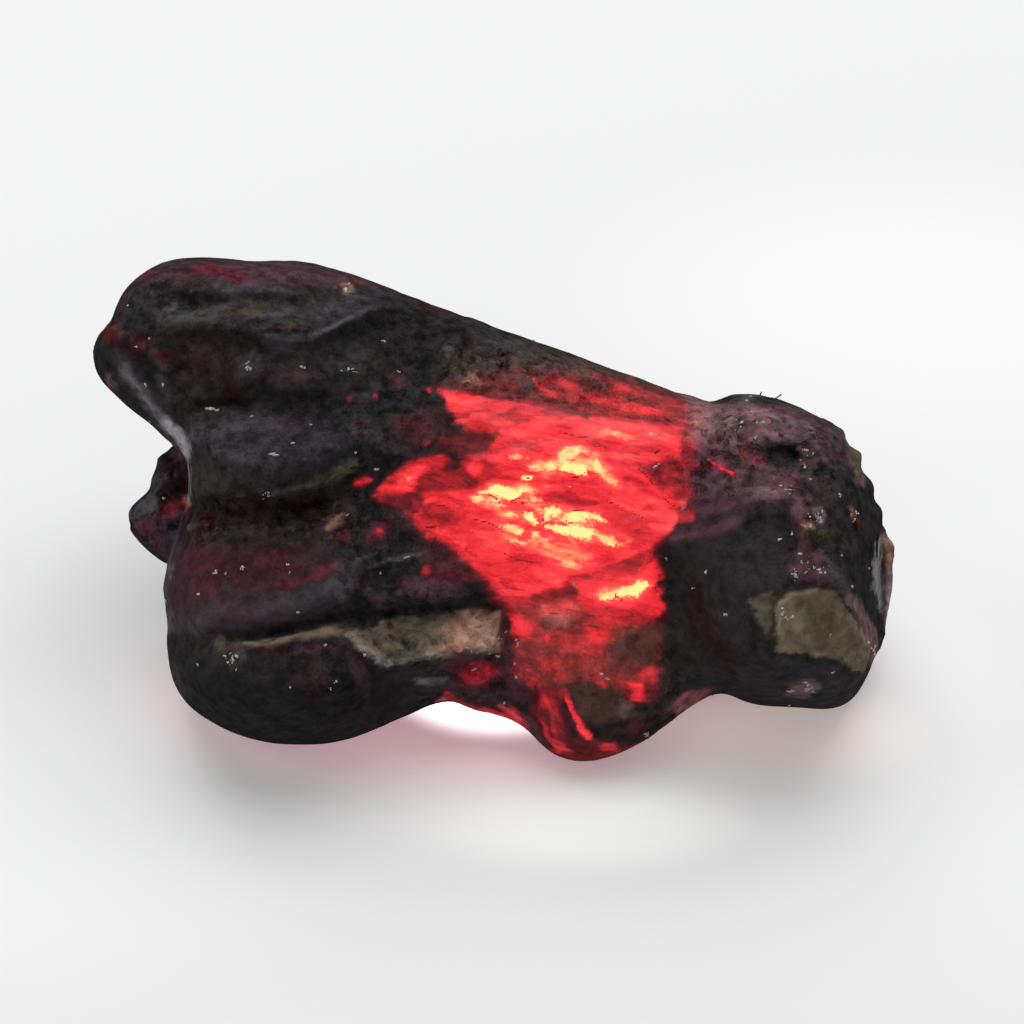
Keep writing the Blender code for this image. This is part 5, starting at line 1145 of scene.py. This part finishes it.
# Finish of the skin. Lengths are in mm.
stoneFinish = {
    # colour of the pale dust and painted sheen
    "dust": (0.110, 0.090, 0.096, 1),
    "ior": 1.77,
    "specular": 0.0,
    "glowStrength": 1.0,
    "transmission": 0.3,
    "absorption": ((1.0, 0.06, 0.08, 1), 800),
    # scale, detail, roughness
    "fine": (2.6, 6, 0.62),
    "grit": (14, 3, 0.6),
    "streaks": (1.5, 4, 0.6),
    # the layers inside run along the lean, a little down to the right
    "layerTurn": (math.radians(90) - leanFrame["angle"], math.radians(14), 0),
    "layerSize": (3.2, 0.9, 0.8),
    # scale, detail
    "cells": (2.4, 1),
    "grains": (4.5, 0),
    "mottle": {"fine": 1.6, "grit": (1.6, 0.4), "grains": 1.3},
    "powder": (0.4, 0.68),
    "halo": (0.2, 0.5, 0.08),
    "breaks": {"middle": 0.47, "width": 0.03, "left": 0.88},
    "flakeRim": {"middle": 0.38, "width": 0.07, "left": 0.88},
    "flakeEdge": (0.44, 0.6),
    "crackEdge": (0.5, 0.85),
    "crackDarkness": 0.55,
    "gloss": {"least": 0.12, "fine": 0.35, "rough": 0.26},
    "heights": {"grit": 0.25, "grains": 0.12, "least": 0.1},
    "bumpStrength": 0.55,
    "bumpHeight": 0.07,
    # heat, colour of the light; black at 0
    "glow": (
        (0.10, (0.010, 0.001, 0.002)),
        (0.20, (0.045, 0.002, 0.004)),
        (0.30, (0.150, 0.003, 0.008)),
        (0.40, (0.380, 0.008, 0.014)),
        (0.50, (0.740, 0.016, 0.026)),
        (0.60, (0.960, 0.032, 0.044)),
        (0.70, (1.000, 0.062, 0.062)),
        (0.80, (1.000, 0.220, 0.115)),
        (0.90, (0.990, 0.640, 0.240)),
        (1.00, (0.970, 0.905, 0.330)),
    ),
}


def stoneMaterial():
    material = bpy.data.materials.new("ruby skin")
    material.use_nodes = True
    material.cycles.emission_sampling = "NONE"
    nodes, links = material.node_tree.nodes, material.node_tree.links
    shader = nodes["Principled BSDF"]
    output = nodes["Material Output"]

    def attribute(name, output="Fac"):
        node = nodes.new("ShaderNodeAttribute")
        node.attribute_name = name
        return node.outputs[output]

    def calculate(operation, *values):
        node = nodes.new("ShaderNodeMath")
        node.operation = operation
        for slot, value in enumerate(values):
            if isinstance(value, (int, float)):
                node.inputs[slot].default_value = value
            else:
                links.new(value, node.inputs[slot])
        return node.outputs[0]

    def plus(one, other):
        return calculate("ADD", one, other)

    def minus(one, other):
        return calculate("SUBTRACT", one, other)

    def times(one, other):
        return calculate("MULTIPLY", one, other)

    def timesPlus(one, other, added):
        return calculate("MULTIPLY_ADD", one, other, added)

    def stretch(value, low, high, newLow=0, newHigh=1):
        node = nodes.new("ShaderNodeMapRange")
        node.interpolation_type = "SMOOTHSTEP"
        links.new(value, node.inputs["Value"])
        for name, number in (("From Min", low), ("From Max", high), ("To Min", newLow), ("To Max", newHigh)):
            node.inputs[name].default_value = number
        return node.outputs[0]

    def darkLine(value, middle, width, left):
        # dips to what is left where the value passes the middle
        return stretch(calculate("ABSOLUTE", minus(value, middle)), 0, width, left, 1)

    def texture(kind, vector, scale, detail, output):
        node = nodes.new(kind)
        node.inputs["Scale"].default_value = scale
        node.inputs["Detail"].default_value = detail
        links.new(vector, node.inputs["Vector"])
        return node, node.outputs[output]

    def noiseTexture(vector, scale, detail, roughness):
        node, value = texture("ShaderNodeTexNoise", vector, scale, detail, "Fac")
        node.inputs["Roughness"].default_value = roughness
        return value

    def cellValues(vector, scale, detail):
        node, colour = texture("ShaderNodeTexVoronoi", vector, scale, detail, "Color")
        parts = nodes.new("ShaderNodeSeparateColor")
        links.new(colour, parts.inputs[0])
        return parts.outputs

    def vectorOf(operation, vector, other, slot):
        node = nodes.new("ShaderNodeVectorMath")
        node.operation = operation
        links.new(vector, node.inputs[0])
        links.new(other, node.inputs[slot])
        return node.outputs[0]

    coordinates = nodes.new("ShaderNodeTexCoord")
    millimetres = nodes.new("ShaderNodeMapping")
    millimetres.inputs["Scale"].default_value = (1 / mm, 1 / mm, 1 / mm)
    links.new(coordinates.outputs["Object"], millimetres.inputs["Vector"])
    even = millimetres.outputs[0]
    turned = nodes.new("ShaderNodeMapping")
    turned.vector_type = "TEXTURE"
    turned.inputs["Rotation"].default_value = stoneFinish["layerTurn"]
    turned.inputs["Scale"].default_value = stoneFinish["layerSize"]
    links.new(even, turned.inputs["Vector"])
    along = turned.outputs[0]

    fine = noiseTexture(even, *stoneFinish["fine"])
    grit = noiseTexture(even, *stoneFinish["grit"])
    streaks = noiseTexture(along, *stoneFinish["streaks"])
    cells = cellValues(vectorOf("ADD", along, streaks, 1), *stoneFinish["cells"])
    grains = cellValues(even, *stoneFinish["grains"])
    # the same noises about zero
    fineOff, gritOff = minus(fine, 0.5), minus(grit, 0.5)
    rough = attribute("rough")

    # skin colour, mottled by fine noise and powdered with pale dust and painted sheen
    gritMost, gritLeast = stoneFinish["mottle"]["grit"]
    mottle = timesPlus(fineOff, stoneFinish["mottle"]["fine"], 1)
    mottle = timesPlus(gritOff, timesPlus(rough, gritMost, gritLeast), mottle)
    mottle = plus(mottle, times(minus(grains[1], 0.5), times(rough, stoneFinish["mottle"]["grains"])))
    mottled = vectorOf("SCALE", attribute("skinTint", "Color"), mottle, "Scale")
    powder = stretch(timesPlus(gritOff, 0.5, fine), *stoneFinish["powder"])
    dusted = nodes.new("ShaderNodeMix")
    dusted.data_type = "RGBA"
    links.new(times(powder, attribute("dustAndSheen")), dusted.inputs[0])
    links.new(mottled, dusted.inputs[6])
    dusted.inputs[7].default_value = stoneFinish["dust"]
    links.new(dusted.outputs[2], shader.inputs["Base Color"])

    # painted glow that stands in for the light from below, crumbly where it is faint and broken by thin dark
    # lines between the layers
    glow, flake = attribute("glow"), attribute("flake")
    wander = plus(times(minus(streaks, 0.54), 1.25), times(minus(cells[0], 0.5), 0.2))
    wander = timesPlus(gritOff, timesPlus(rough, stretch(glow, 0.3, 0.5, 1.0, 0.0), 0.12), wander)
    wander = timesPlus(fineOff, timesPlus(rough, stretch(glow, 0.3, 0.5, 1.5, 0.2), 0.25), wander)
    haloStart, haloEnd, haloHeat = stoneFinish["halo"]
    body = timesPlus(glow, wander, plus(glow, times(stretch(flake, haloStart, haloEnd), haloHeat)))
    body = times(body, darkLine(streaks, **stoneFinish["breaks"]))

    # flakes inside, ragged and outlined
    near = stretch(flake, 0.05, 0.3)
    ragged = timesPlus(gritOff, times(near, 0.7), flake)
    ragged = timesPlus(fineOff, times(near, 0.35), ragged)
    body = times(body, darkLine(ragged, **stoneFinish["flakeRim"]))
    flakeHeat = timesPlus(minus(flake, 0.6), 0.25, attribute("flakeHeat"))
    flakeHeat = timesPlus(fineOff, 0.6, flakeHeat)
    flakeHeat = timesPlus(minus(streaks, 0.5), 0.4, flakeHeat)
    heat = nodes.new("ShaderNodeMix")
    heat.data_type = "FLOAT"
    links.new(stretch(ragged, *stoneFinish["flakeEdge"]), heat.inputs[0])
    links.new(body, heat.inputs[2])
    links.new(flakeHeat, heat.inputs[3])
    inCrack = stretch(plus(attribute("crack"), times(fineOff, 0.6)), *stoneFinish["crackEdge"])
    heated = times(heat.outputs[0], minus(1, times(inCrack, stoneFinish["crackDarkness"])))
    ramp = nodes.new("ShaderNodeValToRGB")
    elements = ramp.color_ramp.elements
    elements.remove(elements[1])
    elements[0].color = (0, 0, 0, 1)
    for position, colour in stoneFinish["glow"]:
        elements.new(position).color = (*colour, 1)
    links.new(heated, ramp.inputs["Fac"])
    links.new(ramp.outputs["Color"], shader.inputs["Emission Color"])
    shader.inputs["Emission Strength"].default_value = stoneFinish["glowStrength"]

    # clear ruby under the window
    links.new(times(attribute("clear"), stoneFinish["transmission"]), shader.inputs["Transmission Weight"])
    shader.inputs["IOR"].default_value = stoneFinish["ior"]
    shader.inputs["Specular IOR Level"].default_value = stoneFinish["specular"]
    depth = nodes.new("ShaderNodeVolumeAbsorption")
    depth.inputs["Color"].default_value, depth.inputs["Density"].default_value = stoneFinish["absorption"]
    links.new(depth.outputs[0], output.inputs["Volume"])

    # gloss and fine relief
    gloss, relief = stoneFinish["gloss"], stoneFinish["heights"]
    smoothGloss = timesPlus(fine, gloss["fine"], gloss["least"])
    links.new(timesPlus(rough, gloss["rough"], smoothGloss), shader.inputs["Roughness"])
    heights = timesPlus(grains[0], relief["grains"], timesPlus(grit, relief["grit"], fine))
    heights = times(heights, plus(rough, relief["least"]))
    bump = nodes.new("ShaderNodeBump")
    bump.inputs["Strength"].default_value = stoneFinish["bumpStrength"]
    bump.inputs["Distance"].default_value = stoneFinish["bumpHeight"] * mm
    links.new(heights, bump.inputs["Height"])
    links.new(bump.outputs["Normal"], shader.inputs["Normal"])
    return material


print("stone")
stone = stoneCopy()
stonePairs = meshPairs(stone.data)
stoneRough = carve(stone.data, stonePairs)
print("stone paint")
paint(stone.data, stonePairs, stoneRough)
stone.data.materials.clear()
stone.data.materials.append(stoneMaterial())
stone.data.shade_smooth()
print("stone triangles", sum(len(face.vertices) - 2 for face in stone.data.polygons))
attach(stone, "root")
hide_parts("ruby_crystal")


# White specks of dust and lint that stick to the skin: u, v, long half width, short half width, turn.
specks = {
    "places": (
        (-8.25, 3.05, 0.17, 0.1, -20), (-8.1, 2.98, 0.08, 0.06, 0), (-7.05, 2.8, 0.08, 0.05, 20),
        (-5.3, 2.55, 0.06, 0.05, 0), (-5.82, 2.0, 0.1, 0.06, 20), (-6.4, 1.63, 0.19, 0.07, 5),
        (-3.42, 1.25, 0.1, 0.06, -10), (-9.72, 3.75, 0.06, 0.07, 0), (-10.25, 3.75, 0.06, 0.07, 0),
        (-3.2, 5.0, 0.08, 0.05, -40), (-5.6, 4.25, 0.09, 0.05, -20), (-5.5, 4.2, 0.05, 0.05, 0),
        (-8.05, -1.75, 0.1, 0.07, 0), (-7.3, -1.63, 0.07, 0.07, 0), (-6.0, -1.52, 0.07, 0.06, 0),
        (-5.65, -2.88, 0.09, 0.06, -30), (-8.6, -2.4, 0.08, 0.05, -10), (-7.8, -1.8, 0.05, 0.05, 0),
        (3.32, -4.87, 0.1, 0.06, 20), (3.15, -4.72, 0.07, 0.05, 0), (4.5, -6.55, 0.08, 0.06, 30),
        (4.75, 1.35, 0.11, 0.05, 25), (4.68, 2.28, 0.08, 0.04, -15), (2.35, -2.1, 0.12, 0.05, -55),
        (-2.6, -1.37, 0.2, 0.05, 12), (-2.75, 4.1, 0.06, 0.05, 0), (-10.5, 4.85, 0.07, 0.05, -30),
        (-10.1, 5.1, 0.05, 0.05, 0), (-10.8, 6.1, 0.05, 0.05, 0), (-5.9, -1.75, 0.04, 0.04, 0),
        (-3.3, -1.8, 0.05, 0.05, 0), (9.45, -0.3, 0.09, 0.06, 0), (9.15, -0.45, 0.06, 0.05, 0),
        (8.25, -0.8, 0.07, 0.05, 0), (8.6, -0.65, 0.05, 0.05, 0), (10.1, 0.5, 0.08, 0.06, -50),
        (9.2, 0.95, 0.05, 0.05, 0), (10.4, -2.15, 0.07, 0.06, 0), (8.3, -2.75, 0.06, 0.05, 0),
        (11.3, -4.2, 0.08, 0.06, 20), (9.85, -4.65, 0.06, 0.05, 0), (8.8, -5.75, 0.06, 0.04, 0),
        (6.15, -1.75, 0.07, 0.07, 0), (6.7, -2.95, 0.07, 0.06, 0), (5.8, -2.2, 0.06, 0.05, 0),
        (-5.85, -5.05, 0.04, 0.04, 0), (-4.85, -3.85, 0.06, 0.05, 0), (-4.55, -4.9, 0.05, 0.05, 0),
        (-3.75, -4.15, 0.05, 0.04, 0), (-4.7, -5.1, 0.04, 0.04, 0), (0.62, -4.45, 0.07, 0.04, 80),
        (0.65, -4.85, 0.06, 0.05, 0), (-0.55, -4.6, 0.1, 0.04, 30), (-10.0, 0.42, 0.07, 0.05, 0),
        (7.5, 3.3, 0.06, 0.05, 0), (7.6, 2.95, 0.06, 0.05, 0), (0.3, -5.65, 0.06, 0.08, 0),
        (-6.55, 0.5, 0.07, 0.05, 0), (-7.4, -4.15, 0.06, 0.05, 0), (-8.6, -4.45, 0.06, 0.05, 0),
        (2.2, 0.72, 0.06, 0.03, 10), (1.0, 0.98, 0.08, 0.04, 0), (-4.3, -0.1, 0.07, 0.05, 0),
        (5.05, -1.35, 0.06, 0.05, 0), (11.05, -1.65, 0.05, 0.05, 0), (10.1, -1.25, 0.05, 0.05, 0),
        (9.75, -3.55, 0.04, 0.04, 0), (-4.0, 1.75, 0.05, 0.05, 0),
    ),
    # loose crumbs: u, v, how far they spread, how many
    "clusters": (
        (9.42, -0.15, 0.17, 11), (8.65, -1.8, 0.12, 6), (8.85, -1.35, 0.14, 5), (9.35, -1.6, 0.22, 9),
        (9.2, -5.15, 0.17, 12), (8.75, -5.25, 0.1, 4), (8.32, -3.0, 0.22, 7), (-7.65, -4.2, 0.22, 9),
        (0.1, -3.6, 0.22, 5), (10.5, -0.1, 0.18, 5), (-4.3, 6.6, 0.12, 4), (-6.6, 0.5, 0.14, 4),
        (4.5, -6.55, 0.1, 5), (6.5, -5.55, 0.14, 5), (0.7, -3.85, 0.1, 4), (7.6, 2.6, 0.6, 9),
        (9.2, 1.7, 0.25, 5), (-7.1, 4.25, 0.2, 5), (-4.2, 4.15, 0.25, 5), (11.3, -4.1, 0.15, 4),
        (-0.5, -4.0, 0.3, 5), (8.5, 0.7, 0.3, 5),
    ),
    "castFrom": 20,  # w well in front of the skin
    "lobes": (0.75, 0.5, 0.35),  # share of the speck's size
    "wobble": 0.3,
    "clusterSpread": 0.6,
    "crumbSize": (0.025, 0.07),  # least, and how much more at most
    "scattered": 170,
    "scatteredFrom": ((0, 0, 0.005), 0.03),  # middle and distance, in metres
    "scatteredSize": (0.02, 0.05),
    "scatteredLength": 1.6,
    "scatteredLowest": 0.0015,
    "scatteredFacing": 0.2,
    "height": 0.05,
    "colour": (0.60, 0.54, 0.52, 1),
    # roughness, scale of the grain, how dark the grain is
    "finish": (0.8, 9000, 0.55),
}

bitGrain = {
    "detail": 5,
    "edges": (0.35, 0.65),
    "bumpStrength": 0.5,
    "bumpHeight": 0.02,
}


def plainMaterial(name, colour, roughness, grainScale, darker):
    # a pale grainy finish for small bits
    material = bpy.data.materials.new(name)
    material.use_nodes = True
    nodes, links = material.node_tree.nodes, material.node_tree.links
    shader = nodes["Principled BSDF"]
    coordinates = nodes.new("ShaderNodeTexCoord")
    grain = nodes.new("ShaderNodeTexNoise")
    grain.inputs["Scale"].default_value = grainScale
    grain.inputs["Detail"].default_value = bitGrain["detail"]
    links.new(coordinates.outputs["Object"], grain.inputs["Vector"])
    ramp = nodes.new("ShaderNodeValToRGB")
    dark = (*(part * darker for part in colour[:3]), 1)
    for element, position, shade in zip(ramp.color_ramp.elements, bitGrain["edges"], (dark, colour)):
        element.position = position
        element.color = shade
    links.new(grain.outputs["Fac"], ramp.inputs["Fac"])
    links.new(ramp.outputs["Color"], shader.inputs["Base Color"])
    shader.inputs["Roughness"].default_value = roughness
    bump = nodes.new("ShaderNodeBump")
    bump.inputs["Strength"].default_value = bitGrain["bumpStrength"]
    bump.inputs["Distance"].default_value = bitGrain["bumpHeight"] * mm
    links.new(grain.outputs["Fac"], bump.inputs["Height"])
    links.new(bump.outputs["Normal"], shader.inputs["Normal"])
    return material


def addPiece(mesh, material):
    mesh.materials.clear()
    mesh.materials.append(material)
    piece = bpy.data.objects.new(mesh.name, mesh)
    bpy.context.collection.objects.link(piece)
    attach(piece, "root")


def makeSpecks(surface):
    random = np.random.default_rng(21)
    bits = bmesh.new()
    outward = Vector(leanOut)

    def addSpeck(place, normal, longHalf, shortHalf, turn):
        side = Vector((1, 0, 0)).cross(normal)
        if side.length < 0.1:
            side = Vector((0, 1, 0)).cross(normal)
        side.normalize()
        across = side.cross(normal)
        one = across * math.cos(turn) + side * math.sin(turn)
        two = side * math.cos(turn) - across * math.sin(turn)
        for share in specks["lobes"]:
            aside = random.normal(size=2) * (1 - share)
            for vertex in bmesh.ops.create_icosphere(bits, subdivisions=1, radius=1)["verts"]:
                wobble = share * (1 + specks["wobble"] * random.normal())
                local = vertex.co.copy()
                vertex.co = place + (one * (local.x * wobble + aside[0]) * longHalf
                                     + two * (local.y * wobble + aside[1]) * shortHalf
                                     + normal * local.z * wobble * specks["height"]) * mm

    def castAt(u, v):
        return surface.ray_cast(fromLean(u, v, specks["castFrom"]), -outward)[:2]

    for u, v, longHalf, shortHalf, turn in specks["places"]:
        place, normal = castAt(u, v)
        if place:
            addSpeck(place, normal, longHalf, shortHalf, math.radians(turn))
    least, more = specks["crumbSize"]
    for u, v, reach, count in specks["clusters"]:
        for number in range(count):
            aside = random.normal(size=2) * reach * specks["clusterSpread"]
            place, normal = castAt(u + aside[0], v + aside[1])
            if place:
                addSpeck(place, normal, *(least + more * random.random(2) ** 2), random.uniform(0, math.pi))
    middle, distance = specks["scatteredFrom"]
    for number in range(specks["scattered"]):
        direction = Vector(random.normal(size=3)).normalized()
        place, normal = surface.ray_cast(Vector(middle) + direction * distance, -direction)[:2]
        size = random.uniform(*specks["scatteredSize"])
        if place and place.z > specks["scatteredLowest"] and normal.dot(outward) < specks["scatteredFacing"]:
            addSpeck(place, normal, size * specks["scatteredLength"], size, random.uniform(0, math.pi))
    mesh = bpy.data.meshes.new("dustSpecks")
    bits.to_mesh(mesh)
    bits.free()
    mesh.shade_smooth()
    addPiece(mesh, plainMaterial("pale dust", specks["colour"], *specks["finish"]))


# Three short hairs of lint that stand up at the top of the right end: points in lean coordinates.
lint = {
    "hairs": (
        ((7.95, 3.3, -1.0), (8.0, 3.48, -0.95), (8.08, 3.62, -0.9)),
        ((8.3, 3.35, -1.1), (8.45, 3.5, -1.0), (8.62, 3.62, -0.95), (8.68, 3.66, -0.9)),
        ((8.38, 3.35, -1.1), (8.42, 3.48, -1.05), (8.4, 3.58, -1.0)),
    ),
    "halfThickness": 0.022,
    "colour": (0.16, 0.14, 0.13, 1),
    "finish": (0.7, 12000, 0.6),
}


def makeLint(surface):
    curve = bpy.data.curves.new("drawnHairs", "CURVE")
    curve.dimensions = "3D"
    curve.bevel_depth = lint["halfThickness"] * mm
    curve.bevel_resolution = 2
    curve.resolution_u = 6
    for hair in lint["hairs"]:
        shift = surface.find_nearest(fromLean(*hair[0]))[0] - fromLean(*hair[0])
        spline = curve.splines.new("NURBS")
        spline.points.add(len(hair) - 1)
        for point, place in zip(spline.points, hair):
            point.co = (*(fromLean(*place) + shift), 1)
        spline.use_endpoint_u = True
        spline.order_u = 3
    drawn = bpy.data.objects.new("drawnHairs", curve)
    bpy.context.collection.objects.link(drawn)
    mesh = finishedMesh(drawn)
    bpy.data.objects.remove(drawn)
    mesh.name = "lintHairs"
    addPiece(mesh, plainMaterial("grey lint", lint["colour"], *lint["finish"]))


print("specks and lint")
bpy.context.view_layer.update()
stoneSurface = BVHTree.FromObject(stone, bpy.context.evaluated_depsgraph_get())
makeSpecks(stoneSurface)
makeLint(stoneSurface)

# The floor is pale paper. Its emission patches are painted light: a bright spot under the stone stands in
# for a lamp below the paper, a pink pool for the ruby's red light spilling round its foot, and fainter pools
# lift the shadows and brighten parts of the floor. Distances are in mm.
paper = {
    "size": 900,
    "gap": 0.02,
    "colour": (0.82, 0.82, 0.82, 1),
    "roughness": 0.9,
    # middle, spread, inner and outer edge of the fade, colour, strength
    "lights": (
        ((0.1, -0.7), (3.7, 3.2), (0.7, 1.25), (1.0, 0.94, 0.97), 1.8),
        ((-1.4, -2.4), (9.3, 4.4), (0.4, 1.3), (0.36, 0.115, 0.165), 0.62),
        ((1.0, -1.2), (14.5, 8.6), (0.45, 1.2), (0.22, 0.20, 0.19), 0.9),
        ((8.7, -4.1), (4.3, 2.4), (0.3, 1.3), (0.14, 0.095, 0.075), 1.0),
        ((18, -2), (16, 15), (0.3, 1.2), (0.06, 0.06, 0.06), 1.0),
        ((14, 17), (13, 9), (0.2, 1.2), (0.09, 0.085, 0.085), 1.0),
        ((2.6, -8.0), (5.5, 2.2), (0.2, 1.2), (0.10, 0.12, 0.105), 1.2),
        ((-14, -8), (12, 8), (0.2, 1.2), (0.065, 0.065, 0.065), 1.0),
    ),
}


def paperMaterial():
    material = bpy.data.materials.new("paper with painted light pools")
    material.use_nodes = True
    material.cycles.emission_sampling = "NONE"
    nodes, links = material.node_tree.nodes, material.node_tree.links
    shader = nodes["Principled BSDF"]
    shader.inputs["Base Color"].default_value = paper["colour"]
    shader.inputs["Roughness"].default_value = paper["roughness"]
    coordinates = nodes.new("ShaderNodeTexCoord")
    total = nodes.new("ShaderNodeVectorMath").outputs[0]
    for middle, spreadOut, edge, colour, strength in paper["lights"]:
        mapping = nodes.new("ShaderNodeMapping")
        mapping.vector_type = "TEXTURE"
        mapping.inputs["Location"].default_value = (middle[0] * mm, middle[1] * mm, 0)
        mapping.inputs["Scale"].default_value = (spreadOut[0] * mm, spreadOut[1] * mm, 1)
        links.new(coordinates.outputs["Object"], mapping.inputs["Vector"])
        distance = nodes.new("ShaderNodeVectorMath")
        distance.operation = "LENGTH"
        links.new(mapping.outputs[0], distance.inputs[0])
        fade = nodes.new("ShaderNodeMapRange")
        fade.interpolation_type = "SMOOTHERSTEP"
        fade.inputs["From Min"].default_value, fade.inputs["From Max"].default_value = edge
        fade.inputs["To Min"].default_value = strength
        fade.inputs["To Max"].default_value = 0
        links.new(distance.outputs["Value"], fade.inputs["Value"])
        scaled = nodes.new("ShaderNodeVectorMath")
        scaled.operation = "SCALE"
        scaled.inputs[0].default_value = colour
        links.new(fade.outputs[0], scaled.inputs["Scale"])
        added = nodes.new("ShaderNodeVectorMath")
        links.new(total, added.inputs[0])
        links.new(scaled.outputs[0], added.inputs[1])
        total = added.outputs[0]
    links.new(total, shader.inputs["Emission Color"])
    shader.inputs["Emission Strength"].default_value = 1
    return material


def makeFloor():
    bpy.ops.mesh.primitive_plane_add(size=paper["size"] * mm, location=(0, 0, -paper["gap"] * mm))
    floor = bpy.context.object
    floor.name = "floor"
    floor.data.materials.append(paperMaterial())


# Lamps and the light all round. Distances are in metres.
room = {
    # place, size, power
    "lamps": {
        "softCeiling": ((0.02, 0.14, 0.34), 0.42, 1.2),
        "windowSide": ((-0.22, 0.02, 0.10), 0.12, 0.10),
    },
    "lampsAim": (0, 0, 0.005),
    "colour": (0.97, 0.98, 1.0, 1),
    "darkSide": (0, -0.766, 0.643),
    "edge": (-0.1, 0.9),
    "strength": (0.64, 0.26),
}


def areaLight(name, place, size, power):
    light = bpy.data.lights.new(name, "AREA")
    light.energy = power
    light.size = size
    lamp = bpy.data.objects.new(name, light)
    bpy.context.collection.objects.link(lamp)
    lamp.location = place
    aim = Vector(place) - Vector(room["lampsAim"])
    lamp.rotation_euler = aim.to_track_quat("Z", "Y").to_euler()


def makeLights():
    for name, lamp in room["lamps"].items():
        areaLight(name, *lamp)
    # the room is darker on the viewer's side
    world = bpy.data.worlds.new("soft room")
    world.use_nodes = True
    nodes, links = world.node_tree.nodes, world.node_tree.links
    background = nodes["Background"]
    background.inputs["Color"].default_value = room["colour"]
    coordinates = nodes.new("ShaderNodeTexCoord")
    towards = nodes.new("ShaderNodeVectorMath")
    towards.operation = "DOT_PRODUCT"
    towards.inputs[1].default_value = room["darkSide"]
    links.new(coordinates.outputs["Generated"], towards.inputs[0])
    fade = nodes.new("ShaderNodeMapRange")
    fade.interpolation_type = "SMOOTHSTEP"
    fade.inputs["From Min"].default_value, fade.inputs["From Max"].default_value = room["edge"]
    fade.inputs["To Min"].default_value, fade.inputs["To Max"].default_value = room["strength"]
    links.new(towards.outputs["Value"], fade.inputs["Value"])
    links.new(fade.outputs[0], background.inputs["Strength"])
    world.cycles.sampling_method = "NONE"
    bpy.context.scene.world = world


cameraPlan = {
    "lens": 150,
    "sensor": 36,
    "distance": 0.128,  # metres
    "aim": (0.461, 0.286, 5.0),  # mm
    "clip": (0.005, 5),
}


def makeCamera():
    data = bpy.data.cameras.new("camera")
    data.lens = cameraPlan["lens"]
    data.sensor_width = cameraPlan["sensor"]
    data.clip_start, data.clip_end = cameraPlan["clip"]
    camera = bpy.data.objects.new("camera", data)
    bpy.context.collection.objects.link(camera)
    outward = Vector(leanOut)
    camera.location = Vector(cameraPlan["aim"]) * mm + outward * cameraPlan["distance"]
    camera.rotation_euler = outward.to_track_quat("Z", "Y").to_euler()
    bpy.context.scene.camera = camera


print("floor, lights and camera")
makeFloor()
makeLights()
makeCamera()
bpy.context.scene.view_settings.view_transform = "Standard"
